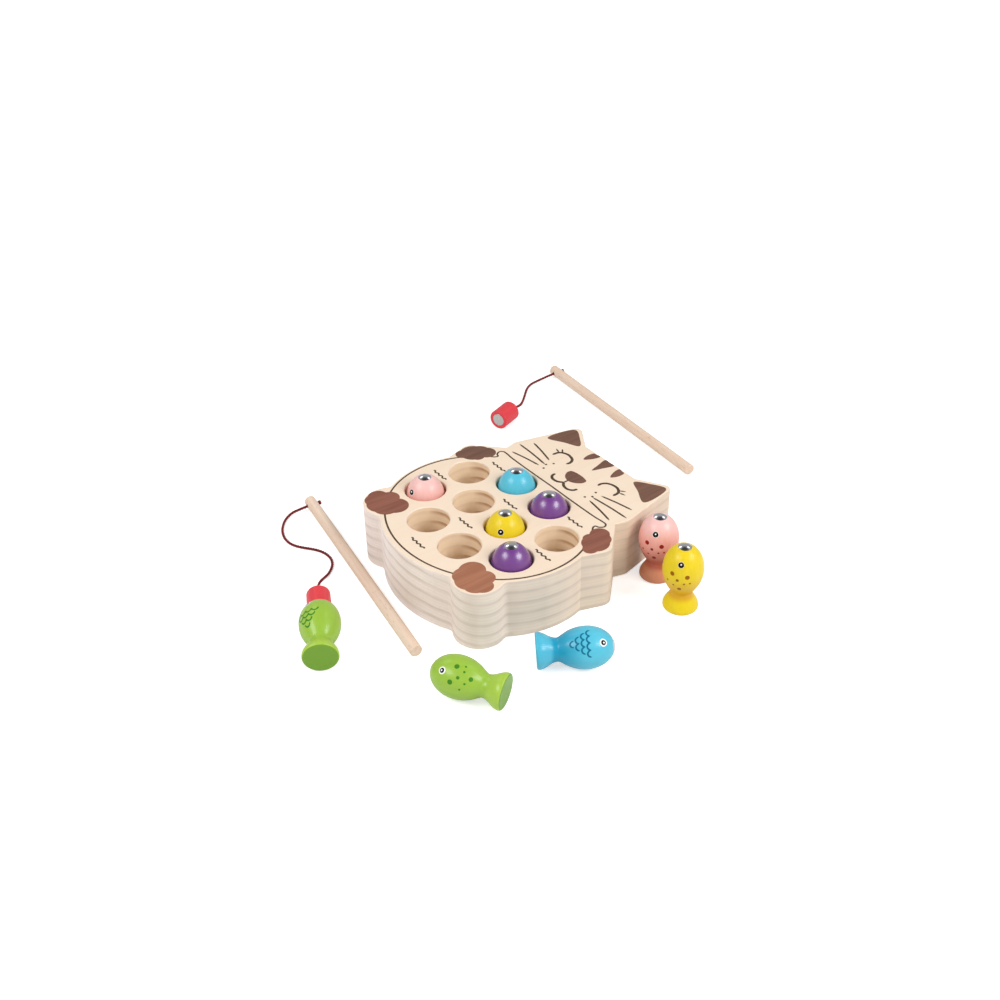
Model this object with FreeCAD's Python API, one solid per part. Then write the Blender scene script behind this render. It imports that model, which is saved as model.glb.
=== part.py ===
import FreeCAD, Part
import math
import os

# Wooden fishing game: a thick pine block in the outline of a sleeping cat, bored with
# ten blind holes, ten turned fish with a steel tack in the nose, and two dowel rods,
# each with a cord that ends in a red wooden holder with a magnet.
# Five fish stand in their holes. Two stand, two lie and one is caught beside the
# block, and both rods lie flat.
# Millimetres. The origin is on the underside of the block, below the middle of the ten
# holes. +Y points to the cat's head, +X to one flank and +Z up.

V = FreeCAD.Vector
UP = V(0, 0, 1)

# The pine block
BLOCK_THICKNESS = 43.0
BODY_HALF_WIDTH = 75.4
BODY_HALF_LENGTH = 68.8
BLOCK_EDGE = 0.8

# The paws, placed by an angle round the body and a share of its oval there
HIND_PAW_RADIUS = 16.9
HIND_PAW_PLACE = (-43.8, 0.94)
HIND_PAW_CREASE = 5.0
FORE_PAW_CORNERS = [(28.0, 0.6), (10.5, 0.958), (27.1, 1.18), (48.0, 1.14)]
FORE_PAW_ROUND = 8.0

# The cat's head, from the middle of the body to the crown and the ears
CROWN_REACH = 102.3
EAR_REACH = 116.7
EAR_TIP_X = 49.2
EAR_FOOT_X = 26.0
EAR_ROUND = 4.6
CHEEK_REACH = 66.0
CHEEK_X = 61.2
CHEEK_ROUND = 7.0
NAPE_REACH = 45.0
NAPE_X = 55.5

# The holes
HOLE_RADIUS = 14.0
HOLE_DEPTH = 36.5
HOLE_PITCH = 35.4
HOLE_CHAMFER = 0.5
CUT_MARGIN = 1.0

# A fish, measured along its axis from the flat end of the tail
FISH_CLEARANCE = 1.0
BELLY_HEIGHT = 30.0
NOSE_HEIGHT = 17.2
NECK_HEIGHT = 12.8
NECK_RADIUS = 7.2
TAIL_RADIUS = 11.3
TAIL_ROUND = 1.4

# How far its curves keep straight on, as shares of their height
TAIL_PULL = 0.4
NECK_PULL = 0.12
BELLY_PULL = 0.6

# The steel tack in each nose
TACK_RADIUS = 4.4
TACK_DOME = 1.4
TACK_SEAT_MARGIN = 0.2
SHANK_RADIUS = 0.9
SHANK_LENGTH = 9.0
SHANK_POINT = 2.0

# The rods
ROD_RADIUS = 4.0
ROD_LENGTH = 186.0
ROD_ROUND = 0.6
CORD_HOLE_RADIUS = 1.3
CORD_HOLE_INSET = 6.0

# The cords and their knots
CORD_DIAMETER = 1.6
KNOT_RADIUS = 1.9
KNOT_FLAT = 0.2
KNOT_GAP = 0.05
CORNER_SHARE = 0.45

# The cord's points near its rod, as (along it, across it), and near its holder, as
# (across it, above the bottom of its cord hole)
ROD_EXIT = [(0, -1.4), (0.7, -8.2)]
HOLDER_ENTRY = [(1.3, 12.4), (0, 6.2), (0, 0)]

# The red holders and their magnets
HOLDER_RADIUS = 7.7
HOLDER_LENGTH = 18.5
HOLDER_ROUND = 0.8
HOLDER_CORD_DEPTH = 4.0
HOLDER_CORD_RADIUS = 1.2
MAGNET_RADIUS = 5.0
MAGNET_THICKNESS = 3.0
MAGNET_CLEARANCE = 0.05
CATCH_GAP = 0.05

# What follows from these
FISH_RADIUS = HOLE_RADIUS - FISH_CLEARANCE
FLAT_RADIUS = TACK_RADIUS + TACK_SEAT_MARGIN
FLAT_HEIGHT = BELLY_HEIGHT + NOSE_HEIGHT * math.sqrt(1 - (FLAT_RADIUS / FISH_RADIUS) ** 2)
DOME_RADIUS = (TACK_RADIUS**2 + TACK_DOME**2) / (2 * TACK_DOME)
HOLE_FLOOR = BLOCK_THICKNESS - HOLE_DEPTH

# Holes as (column, row): the inner columns hold three, the outer two half a pitch off
HOLES = [(-2, -0.5), (-2, 0.5), (-1, -1), (-1, 0), (-1, 1),
         (1, -1), (1, 0), (1, 1), (2, -0.5), (2, 0.5)]

SEATED_FISH = {
    "pink_fish_seated": (-2, -0.5),
    "blue_fish_seated": (-1, 1),
    "yellow_fish_seated": (1, 0),
    "purple_fish_seated_head": (1, 1),
    "purple_fish_seated_side": (2, -0.5),
}

# Standing fish as (x, y), lying fish as (x, y, heading) of the middle of the tail's end
STANDING_FISH = {
    "pink_fish_standing": (73.1, 82.2),
    "yellow_fish_standing": (106.5, 72.4),
}
LYING_FISH = {
    "blue_fish_lying": (96.7, -35.8, 55.6),
    "green_fish_lying": (115.0, -70.9, 211.4),
    "green_fish_caught": (25.2, -141.6, 151.3),
}
CATCH_YAW = 3.0

# Rods as (x, y, heading): the tip's end and the way to the other end
FIRST_ROD = (-136.9, -61.1, -8.5)
SECOND_ROD = (-187.7, 200.5, -5.33)

# The second holder lies loose: its magnet end and the way to its cord end
SECOND_HOLDER = (-142.4, 109.8, 111.2)

# The free points of each cord, from its rod to its holder
FIRST_CORD = [(-134.3, -77.2, 1.4), (-130.6, -83.8, 0.8), (-124.9, -89.1, 0.8),
              (-118.4, -93.1, 0.8), (-110.9, -95.6, 0.8), (-103.6, -95.9, 0.8),
              (-97.4, -94.0, 0.8), (-92.4, -90.6, 0.8), (-88.0, -87.0, 0.8),
              (-83.2, -83.7, 0.8), (-77.4, -81.6, 0.8), (-70.6, -81.4, 0.8),
              (-64.4, -83.5, 0.8), (-59.6, -87.3, 0.8), (-56.0, -91.6, 1.0),
              (-51.8, -97.0, 2.8), (-46.6, -102.7, 5.7)]
SECOND_CORD = [(-184.3, 183.2, 1.4), (-183.8, 173.9, 0.8), (-179.3, 165.9, 0.8),
               (-172.9, 159.3, 0.8), (-166.6, 153.0, 0.8), (-161.2, 146.6, 1.1),
               (-156.4, 140.6, 3.5)]


def polyline(points):
    """A closed wire of straight edges."""
    return Part.makePolygon(points + points[:1])


def turned(edges):
    """The solid that a half section in the XZ plane makes as it turns about Z."""
    return Part.Face(Part.Wire(edges)).revolve(V(0, 0, 0), UP, 360)


def curve(*poles):
    """A smooth edge pulled towards its inner poles."""
    bezier = Part.BezierCurve()
    bezier.setPoles(list(poles))
    return bezier.toShape()


def rounded(solid, radius, wanted):
    """The solid with the edges that wanted() picks rounded off."""
    return solid.makeFillet(radius, [edge for edge in solid.Edges if wanted(edge)])


def slab(outline):
    """A piece of the block: an outline raised by the block's thickness."""
    return Part.Face(outline).extrude(UP * BLOCK_THICKNESS)


def stands_at(place, reach=0.01):
    """Whether an edge stands upright through the block within reach of a place."""
    return lambda edge: (abs(edge.BoundBox.ZLength - BLOCK_THICKNESS) < 0.01
                         and math.dist(edge.CenterOfMass[:2], place[:2]) < reach)


def body_point(angle, share, side):
    """A point at an angle round the body, at a share of the way to its oval outline."""
    turn = math.radians(angle)
    return V(side * BODY_HALF_WIDTH * math.cos(turn), BODY_HALF_LENGTH * math.sin(turn), 0) * share


def body_slab():
    """The oval body."""
    oval = Part.Circle(V(0, 0, 0), UP, 1.0).toShape()
    stretch = FreeCAD.Matrix()
    stretch.scale(BODY_HALF_WIDTH, BODY_HALF_LENGTH, 1.0)
    return slab(Part.Wire(oval.transformGeometry(stretch)))


def hind_paw_slab(side):
    """A round hind paw, centred near the edge of the body."""
    circle = Part.Circle(V(0, 0, 0), UP, HIND_PAW_RADIUS).toShape()
    circle.rotate(V(0, 0, 0), UP, 90 + 90 * side)
    circle.translate(body_point(*HIND_PAW_PLACE, side))
    return slab(Part.Wire(circle))


def fore_paw_slab(side):
    """A fore paw: a corner beside the body with a round tip."""
    corners = [body_point(angle, share, side) for angle, share in FORE_PAW_CORNERS]
    return rounded(slab(polyline(corners)), FORE_PAW_ROUND, stands_at(corners[2]))


def head_slab():
    """The head with its two ears, whose tips and cheeks are round."""
    half = [V(NAPE_X, NAPE_REACH, 0), V(CHEEK_X, CHEEK_REACH, 0),
            V(EAR_TIP_X, EAR_REACH, 0), V(EAR_FOOT_X, CROWN_REACH, 0)]
    other = [V(-point.x, point.y, 0) for point in reversed(half)]
    head = slab(polyline(half + other))
    for radius, corner in ((EAR_ROUND, half[2]), (EAR_ROUND, other[1]),
                           (CHEEK_ROUND, half[1]), (CHEEK_ROUND, other[2])):
        head = rounded(head, radius, stands_at(corner))
    return head


def hole_place(column, row):
    """The centre of a hole of the staggered pattern."""
    reach = HOLE_PITCH / 2 + (abs(column) - 1) * HOLE_PITCH * math.sqrt(3) / 2
    return V(math.copysign(reach, column), row * HOLE_PITCH, 0)


def hole_cutter():
    """What the flat drill takes out, with the chamfer at the mouth."""
    top = HOLE_DEPTH
    mouth = HOLE_RADIUS + HOLE_CHAMFER
    above = top + CUT_MARGIN
    return turned([
        Part.makeLine(V(0, 0, 0), V(HOLE_RADIUS, 0, 0)),
        Part.makeLine(V(HOLE_RADIUS, 0, 0), V(HOLE_RADIUS, 0, top - HOLE_CHAMFER)),
        Part.makeLine(V(HOLE_RADIUS, 0, top - HOLE_CHAMFER), V(mouth, 0, top)),
        Part.makeLine(V(mouth, 0, top), V(mouth, 0, above)),
        Part.makeLine(V(mouth, 0, above), V(0, 0, above)),
        Part.makeLine(V(0, 0, above), V(0, 0, 0)),
    ])


def cat_block():
    """The pine block: body, paws and head in one outline, and the ten holes."""
    block = body_slab()
    for side in (-1, 1):
        block = block.fuse(hind_paw_slab(side)).fuse(fore_paw_slab(side))
    block = block.fuse(head_slab()).removeSplitter()
    for side in (-1, 1):
        paw = body_point(*HIND_PAW_PLACE, side)
        block = rounded(block, HIND_PAW_CREASE, stands_at(paw, HIND_PAW_RADIUS + 0.01))
    block = rounded(block, BLOCK_EDGE, lambda edge: edge.BoundBox.ZLength < 0.01)
    for column, row in HOLES:
        cutter = hole_cutter()
        cutter.translate(hole_place(column, row) + UP * HOLE_FLOOR)
        block = block.cut(cutter)
    return block


def nose_curve():
    """The oval stretch of a fish from its widest ring to the flat on its nose."""
    end = math.acos(FLAT_RADIUS / FISH_RADIUS)
    pull = 4 / 3 * math.tan(end / 4)
    start = V(FISH_RADIUS, 0, BELLY_HEIGHT)
    stop = V(FLAT_RADIUS, 0, FLAT_HEIGHT)
    slope = V(-FISH_RADIUS * math.sin(end), 0, NOSE_HEIGHT * math.cos(end))
    return curve(start, start + V(0, 0, pull * NOSE_HEIGHT), stop - slope * pull, stop)


def fish_section():
    """Half of a fish's section: flared tail, narrow neck and egg-shaped body."""
    rim = V(TAIL_RADIUS, 0, TAIL_ROUND)
    foot = V(TAIL_RADIUS - TAIL_ROUND, 0, 0)
    corner = TAIL_ROUND * (1 - math.sqrt(0.5))
    neck = V(NECK_RADIUS, 0, NECK_HEIGHT)
    belly = V(FISH_RADIUS, 0, BELLY_HEIGHT)
    flare = (neck.z - rim.z) * TAIL_PULL
    swell = belly.z - neck.z
    return [
        Part.makeLine(V(0, 0, 0), foot),
        Part.Arc(foot, V(TAIL_RADIUS - corner, 0, corner), rim).toShape(),
        curve(rim, rim + V(0, 0, flare), neck - V(0, 0, flare), neck),
        curve(neck, neck + V(0, 0, NECK_PULL * swell),
              belly - V(0, 0, BELLY_PULL * swell), belly),
        nose_curve(),
        Part.makeLine(V(FLAT_RADIUS, 0, FLAT_HEIGHT), V(0, 0, FLAT_HEIGHT)),
        Part.makeLine(V(0, 0, FLAT_HEIGHT), V(0, 0, 0)),
    ]


def tack():
    """A domed tack whose head sits on the flat of the nose, with its pointed shank."""
    def at(radius, height):
        return V(radius, 0, FLAT_HEIGHT + height)

    half = math.asin(TACK_RADIUS / DOME_RADIUS) / 2
    middle = at(DOME_RADIUS * math.sin(half), TACK_DOME - DOME_RADIUS * (1 - math.cos(half)))
    tip = at(0, -SHANK_LENGTH)
    shoulder = at(SHANK_RADIUS, SHANK_POINT - SHANK_LENGTH)
    return turned([
        Part.makeLine(tip, shoulder),
        Part.makeLine(shoulder, at(SHANK_RADIUS, 0)),
        Part.makeLine(at(SHANK_RADIUS, 0), at(TACK_RADIUS, 0)),
        Part.Arc(at(TACK_RADIUS, 0), middle, at(0, TACK_DOME)).toShape(),
        Part.makeLine(at(0, TACK_DOME), tip),
    ])


def resting_lean():
    """How a lying fish rests on its belly and its tail: the lean of its axis in
    degrees and the height of the middle of the tail's end."""
    section = [edge.discretize(200) for edge in fish_section()[:5]]
    tail = [point for points in section[:3] for point in points]
    belly = [point for points in section[3:] for point in points]

    def lowest(points, lean):
        return min(p.z * math.sin(lean) - p.x * math.cos(lean) for p in points)

    level, steep = 0.0, math.radians(30)
    for _ in range(40):
        lean = (level + steep) / 2
        if lowest(belly, lean) < lowest(tail, lean):
            level = lean
        else:
            steep = lean
    return math.degrees(lean), -lowest(belly, lean)


def lying(spot, heading, lean):
    """The placement that lays what was made along Z, at a heading over the floor."""
    across = FreeCAD.Rotation(V(0, 1, 0), 90 - lean)
    return FreeCAD.Placement(spot, FreeCAD.Rotation(UP, heading).multiply(across))


def fish_places():
    """Where each fish is: its name and the placement of its tail's end."""
    places = {}
    for name, (column, row) in SEATED_FISH.items():
        places[name] = FreeCAD.Placement(hole_place(column, row) + UP * HOLE_FLOOR,
                                         FreeCAD.Rotation())
    for name, (x, y) in STANDING_FISH.items():
        places[name] = FreeCAD.Placement(V(x, y, 0), FreeCAD.Rotation())
    lean, lift = resting_lean()
    for name, (x, y, heading) in LYING_FISH.items():
        places[name] = lying(V(x, y, lift), heading, lean)
    return places


def dowel():
    """A rod along Z from its tip, with rounded ends and the cord's cross hole."""
    rod = Part.makeCylinder(ROD_RADIUS, ROD_LENGTH)
    rod = rounded(rod, ROD_ROUND, lambda edge: isinstance(edge.Curve, Part.Circle))
    reach = ROD_RADIUS + CUT_MARGIN
    start = V(0, -reach, CORD_HOLE_INSET)
    return rod.cut(Part.makeCylinder(CORD_HOLE_RADIUS, 2 * reach, start, V(0, 1, 0)))


def knot_centre():
    """How far from the rod's axis the knot's middle is, seated on the hole's mouth."""
    return ROD_RADIUS + math.sqrt(KNOT_RADIUS**2 - CORD_HOLE_RADIUS**2) + KNOT_GAP


def knot_face():
    """How far from the rod's axis the cord leaves its knot."""
    return knot_centre() - KNOT_RADIUS + KNOT_FLAT


def knot():
    """The knot at the back of the cross hole, with a flat where the cord leaves it."""
    ball = Part.makeSphere(KNOT_RADIUS, V(0, knot_centre(), CORD_HOLE_INSET))
    size = 4 * KNOT_RADIUS
    corner = V(-size / 2, knot_face(), CORD_HOLE_INSET - size / 2)
    return ball.common(Part.makeBox(size, size, size, corner))


def holder():
    """A holder along Z from its magnet end, bored for the magnet and the cord."""
    body = Part.makeCylinder(HOLDER_RADIUS, HOLDER_LENGTH)
    body = rounded(body, HOLDER_ROUND, lambda edge: isinstance(edge.Curve, Part.Circle))
    seat = Part.makeCylinder(MAGNET_RADIUS + MAGNET_CLEARANCE, MAGNET_THICKNESS)
    bottom = V(0, 0, HOLDER_LENGTH - HOLDER_CORD_DEPTH)
    cord_hole = Part.makeCylinder(HOLDER_CORD_RADIUS, HOLDER_CORD_DEPTH, bottom)
    return body.cut(seat).cut(cord_hole)


def magnet():
    """The round magnet, flush in the end of its holder."""
    return Part.makeCylinder(MAGNET_RADIUS, MAGNET_THICKNESS)


def catching_place(fish_place):
    """The placement of the holder whose magnet touches the tack of the caught fish."""
    dome = fish_place.multVec(UP * (FLAT_HEIGHT + TACK_DOME - DOME_RADIUS))
    heading = LYING_FISH["green_fish_caught"][2] + CATCH_YAW
    pull = FreeCAD.Rotation(UP, heading).multVec(V(1, 0, 0))
    touch = dome + pull * (DOME_RADIUS + CATCH_GAP)
    return lying(V(touch.x, touch.y, HOLDER_RADIUS), heading, 0)


def cord_route(rod_place, free_points, holder_place):
    """A cord's points: out of the knot, through the rod, over the floor and into the
    holder."""
    through = [V(0, knot_face(), CORD_HOLE_INSET)]
    through += [V(along, across, CORD_HOLE_INSET) for along, across in ROD_EXIT]
    bottom = HOLDER_LENGTH - HOLDER_CORD_DEPTH
    into = [V(across, 0, bottom + above) for across, above in HOLDER_ENTRY]
    return ([rod_place.multVec(point) for point in through]
            + [V(*point) for point in free_points]
            + [holder_place.multVec(point) for point in into])


def cord(name, points):
    """A round cord along straight runs joined by tangent arcs."""
    runs = [b - a for a, b in zip(points, points[1:])]
    edges = []
    start = points[0]
    radii = []
    for corner, before, after in zip(points[1:], runs, runs[1:]):
        half = before.getAngle(after) / 2
        trim = CORNER_SHARE * min(before.Length, after.Length)
        radius = trim / math.tan(half)
        into = corner - before.normalize() * trim
        out = corner + V(after).normalize() * trim
        inward = (into + out) * 0.5 - corner
        middle = corner + inward.normalize() * (radius / math.cos(half) - radius)
        edges.append(Part.LineSegment(start, into).toShape())
        edges.append(Part.Arc(into, middle, out).toShape())
        start = out
        radii.append(radius)
    edges.append(Part.LineSegment(start, points[-1]).toShape())
    path = Part.Wire(edges)
    length = path.Length
    ring = Part.Wire(Part.Circle(points[0], points[1] - points[0], CORD_DIAMETER / 2).toShape())
    tube = path.makePipeShell([ring], True, True)
    expected = math.pi * (CORD_DIAMETER / 2) ** 2 * length
    print(name, "length", round(length, 1), "radii",
          [round(radius, 1) for radius in radii], "volume over section times length", round(tube.Volume / expected, 4))
    return tube


def pieces():
    """Every piece of the game by name, where it lies."""
    made = {"cat_block": cat_block()}
    one_tack = tack()
    one_fish = turned(fish_section()).cut(one_tack)
    places = fish_places()
    for name, place in places.items():
        for piece_name, solid in ((name, one_fish), (name + "_tack", one_tack)):
            made[piece_name] = solid.copy()
            made[piece_name].Placement = place
    x, y, heading = SECOND_HOLDER
    rods = {
        "first": (FIRST_ROD, FIRST_CORD, catching_place(places["green_fish_caught"])),
        "second": (SECOND_ROD, SECOND_CORD, lying(V(x, y, HOLDER_RADIUS), heading, 0)),
    }
    for name, ((x, y, heading), free_points, holder_place) in rods.items():
        rod_place = lying(V(x, y, ROD_RADIUS), heading, 0)
        for piece, solid, place in (("rod", dowel(), rod_place), ("knot", knot(), rod_place),
                                    ("holder", holder(), holder_place),
                                    ("magnet", magnet(), holder_place)):
            solid.Placement = place
            made[name + "_" + piece] = solid
        route = cord_route(rod_place, free_points, holder_place)
        made[name + "_cord"] = cord(name + "_cord", route)
    return made


os.makedirs("parts", exist_ok=True)
for node, shape in pieces().items():
    shape.exportStep("parts/" + node + ".step")
    print(node, "valid", shape.isValid(), "solids", len(shape.Solids), "volume", round(shape.Volume))
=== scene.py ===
import math

import bpy
import numpy as np
from bpy.props import FloatProperty, FloatVectorProperty, PointerProperty
from bpy.types import Operator, Panel, PropertyGroup
from mathutils import Matrix, Vector


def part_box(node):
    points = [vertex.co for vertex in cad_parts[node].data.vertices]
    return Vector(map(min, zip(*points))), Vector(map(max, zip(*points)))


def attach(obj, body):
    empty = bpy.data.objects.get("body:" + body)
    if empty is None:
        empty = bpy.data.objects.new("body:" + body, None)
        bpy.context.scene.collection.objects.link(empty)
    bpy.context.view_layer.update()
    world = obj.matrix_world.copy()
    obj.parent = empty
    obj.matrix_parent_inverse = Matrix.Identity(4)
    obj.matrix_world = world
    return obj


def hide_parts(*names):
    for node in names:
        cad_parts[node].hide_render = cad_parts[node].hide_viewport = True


bl_info = {
    "name": "Wooden fishing game",
    "version": (1, 0, 0),
    "blender": (4, 5, 0),
    "location": "View3D > Sidebar > Game",
    "description": "Paint, print, cords and studio for a wooden magnetic fishing game",
    "category": "Object",
}

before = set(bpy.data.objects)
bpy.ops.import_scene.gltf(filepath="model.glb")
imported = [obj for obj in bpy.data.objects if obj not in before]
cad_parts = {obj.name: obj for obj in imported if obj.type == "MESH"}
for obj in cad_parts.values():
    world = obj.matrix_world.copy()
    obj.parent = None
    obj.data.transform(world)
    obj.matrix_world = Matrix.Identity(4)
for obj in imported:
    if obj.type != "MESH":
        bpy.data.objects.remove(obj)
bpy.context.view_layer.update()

# Lengths are in metres, worked out from millimetres
MM = 0.001
BODY = "root"

# The photograph's frame and the camera that took it
IMAGE_SIZE = 1000
FOCAL_PIXELS = 1226.3
SENSOR = 36.0
CAMERA_PLACE = (0.53706, -0.37370, 0.49348)
CAMERA_AZIMUTH = -0.951896
CAMERA_ELEVATION = 0.592653
CAMERA_ROLL = -0.016220

# The block, whose top is where the frame has it
BLOCK_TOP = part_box("cat_block")[1].z
HOLE_RADIUS = 14.0 * MM
HOLE_PITCH = 35.4 * MM
HOLE_CHAMFER = 0.5 * MM
HOLE_DEPTH = 36.5 * MM

# Its growth rings: how far below the floor their pith lies, how wide they are and how
# far they wander
PITH_DEPTH = 0.420
RING_WIDTH = 7.9 * MM
FINE_RING_WIDTH = 2.3 * MM
RING_WANDER = 7.0 * MM

# Its sawn sides turn greyer along this way across the floor, between these two places,
# and take a warmer, darker painted shade at the nape
SIDE_WAY = (0.58, 0.81)
SIDE_FADE = (-78.0 * MM, 59.0 * MM)
NAPE_SHADE_FADE = (40.0 * MM, 58.0 * MM)

# A fish, measured along its axis from the flat end of the tail
FISH_RADIUS = 13.0 * MM
BELLY_HEIGHT = 30.0 * MM
NOSE_HEIGHT = 17.2 * MM
NECK_HEIGHT = 12.8 * MM
NECK_RADIUS = 7.2 * MM
TAIL_RADIUS = 11.3 * MM
TAIL_ROUND = 1.4 * MM
FLAT_RADIUS = 4.6 * MM
FLAT_HEIGHT = BELLY_HEIGHT + NOSE_HEIGHT * math.sqrt(1 - (FLAT_RADIUS / FISH_RADIUS) ** 2)

# The tack in its nose
TACK_RADIUS = 4.4 * MM
TACK_DOME = 1.4 * MM
SHANK_RADIUS = 0.9 * MM
SHANK_LENGTH = 9.0 * MM
SHANK_POINT = 2.0 * MM

# The rods, holders and magnets
ROD_HEADINGS = {"first_rod": -8.5, "second_rod": -5.33}
HOLDER_RADIUS = 7.7 * MM
HOLDER_LENGTH = 18.5 * MM
HOLDER_ROUND = 0.8 * MM
HOLDER_CORD_DEPTH = 4.0 * MM
HOLDER_CORD_RADIUS = 1.2 * MM
MAGNET_RADIUS = 5.0 * MM
MAGNET_THICKNESS = 3.0 * MM
MAGNET_ROUND = 0.3 * MM

# The cords
CORD_DIAMETER = 1.6 * MM
STRANDS_DIAMETER = 1.3 * CORD_DIAMETER
CORD_TWIST = 5.8 * MM
CORD_STEP = 0.4 * MM
KNOT_RADIUS = 1.9 * MM
KNOT_STRAND = 0.45 * CORD_DIAMETER

# Each cord's length and the points of its route, from its knot through the rod and
# over the floor into its holder, in millimetres
CORD_ROUTES = {
    "first": (0.1475, [
        (-130.41, -58.29, 4.0), (-131.17, -63.37, 4.0), (-132.18, -70.1, 3.3),
        (-134.3, -77.2, 1.4), (-130.6, -83.8, 0.8), (-124.9, -89.1, 0.8),
        (-118.4, -93.1, 0.8), (-110.9, -95.6, 0.8), (-103.6, -95.9, 0.8),
        (-97.4, -94.0, 0.8), (-92.4, -90.6, 0.8), (-88.0, -87.0, 0.8),
        (-83.2, -83.7, 0.8), (-77.4, -81.6, 0.8), (-70.6, -81.4, 0.8),
        (-64.4, -83.5, 0.8), (-59.6, -87.3, 0.8), (-56.0, -91.6, 1.0),
        (-51.8, -97.0, 2.8), (-46.6, -102.7, 5.7), (-40.85, -107.5, 6.4),
        (-35.27, -110.19, 7.7), (-29.68, -112.88, 7.7)]),
    "second": (0.0938, [
        (-181.38, 203.66, 4.0), (-181.86, 198.55, 4.0), (-182.49, 191.78, 3.3),
        (-184.3, 183.2, 1.4), (-183.8, 173.9, 0.8), (-179.3, 165.9, 0.8),
        (-172.9, 159.3, 0.8), (-166.6, 153.0, 0.8), (-161.2, 146.6, 1.1),
        (-156.4, 140.6, 3.5), (-152.13, 134.88, 6.4), (-149.89, 129.1, 7.7),
        (-147.64, 123.32, 7.7)]),
}

# The print on the block's top, in millimetres, drawn for the +X half. The face's
# middle line is a little off the block's.
FACE_X = 0.8
BODY_LINE = (73.0, 64.0, -1.0)
BODY_LINE_END = 33.0
CHEST_LINE = [(0, 51.5), (25, 51.3), (44, 51.5), (51, 52.1), (55.2, 51.9), (56.9, 49.3),
              (55.2, 46.4), (52.8, 45.3), (53.6, 42.6), (58.2, 38.6)]
HIND_PAW = [(43.6, -43.7, 8.4), (54.2, -42.2, 6.8), (60.3, -47.6, 6.6),
            (45.8, -50.0, 8.4), (51.2, -51.0, 9.2), (57.2, -50.9, 7.4)]
FORE_PAW = [(61.3, 41.9, 6.4), (65.5, 38.6, 7.3), (67.0, 33.8, 9.0),
            (61.4, 34.2, 4.9), (69.8, 27.2, 5.0)]
EAR = [(28.9, 98.7), (37.0, 105.6), (47.8, 110.4), (51.9, 99.0), (51.0, 87.6), (39.0, 93.3)]
NOSE = [(0, 64.3), (5.2, 66.3), (8.3, 70.2), (8.0, 73.9), (3.8, 75.2), (0, 75.4)]
MOUTH = [(0, 64.4), (0, 60.9), (3.4, 58.3), (7.9, 57.8), (11.2, 59.9), (12.0, 63.3)]
CLOSED_EYE = [(17.0, 76.4), (16.6, 79.7), (18.6, 83.2), (22.9, 85.0), (27.6, 84.8),
              (31.6, 82.0), (32.4, 76.6)]
LASHES = [[(29.9, 83.7), (34.0, 86.7)], [(31.6, 82.0), (37.0, 83.6)]]
WHISKERS = [[(27.2, 60.9), (40.3, 59.0), (52.6, 56.6)],
            [(25.4, 64.8), (41.5, 66.3), (57.4, 66.9)],
            [(27.8, 70.4), (40.0, 73.4), (52.6, 75.8)]]
CHEEK_DOTS = [(22.2, 61.1), (24.9, 65.3), (22.6, 70.1)]
MIDDLE_STRIPE = [(0.0, 85.5), (2.6, 93.0), (4.7, 101.2), (0.0, 101.5)]
SIDE_STRIPE = [(14.2, 89.9), (16.6, 94.6), (16.2, 100.2), (13.4, 101.0), (9.9, 101.2), (10.9, 95.2)]
RIPPLES = [(57.2, -0.4), (41.5, 37.4), (0.0, 16.5), (0.0, -19.0), (0.0, -55.0)]
RIPPLE_HALF_WAVES = 7
STROKE_STEP = 0.35

# How far the edges of all print reach into what it is printed on
PRINT_DEPTH = 0.04 * MM

# Marks on a fish's side: turn from its eye in degrees, height and radius in millimetres
EYE_HEIGHT = 38.8
GLINT_RISE = 0.25
SPOTS = [(-22.5, 32.2, 1.5), (21.0, 31.1, 1.5), (-6.0, 28.3, 1.0), (-36.5, 26.0, 0.65),
         (13.5, 25.9, 0.7), (29.8, 26.3, 0.65), (-17.5, 23.8, 0.65), (0.5, 21.2, 1.3)]
SCALE_ROWS = [(31.4, 4), (28.1, 3), (24.8, 2), (21.5, 1)]
SCALE_TURN = 19.0

# For each colour of fish: the radii of the eye's white ring and of its pupil, in
# millimetres, and in what its gloss differs from the others
EYES = {"pink": (2.05, 1.85), "blue": (2.4, 1.6), "purple": (2.4, 1.6),
        "yellow": (2.0, 1.85), "green": (2.25, 1.5)}
GLOSS = {"pink": {"coat": 0.3}, "blue": {}, "purple": {"coat": 1.0, "shine": 1.7, "haze": 0.27},
         "yellow": {"coat": 0.2}, "green": {}}

# What each fish is printed with, the way its eye looks in degrees and how far its print
# sits towards the nose in millimetres. The print is on one side only: three of the
# seated fish show no eye to the camera.
FISH = {
    "pink_fish_seated": ("spots", -87.0, 0.0),
    "blue_fish_seated": ("scales", 150.0, 0.0),
    "yellow_fish_seated": ("spots", -51.0, 0.0),
    "purple_fish_seated_head": ("scales", 118.0, 0.0),
    "purple_fish_seated_side": ("scales", 172.0, 0.0),
    "pink_fish_standing": ("spots", -56.0, 0.5),
    "yellow_fish_standing": ("spots", -53.5, 0.8),
    "blue_fish_lying": ("scales", 128.3, 1.2),
    "green_fish_lying": ("spots", 49.0, -1.9),
    "green_fish_caught": ("scales", 53.0, 0.0),
}

# The studio: the floor, what the softboxes face, and how far each is to the camera's
# right and how high
WHITE = (1.0, 1.0, 1.0, 1.0)
FLOOR_HALF = 6.0
FLOOR_DROP = 0.05 * MM
SOFTBOX_AIM = (0.0, 0.0, 0.03)
SOFTBOX_SIZE = (0.75, 0.5)
SOFTBOX_BACK = 0.45
SOFTBOXES = {"right_softbox": (1.0, 0.85), "left_softbox": (-0.85, 0.95)}

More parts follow.
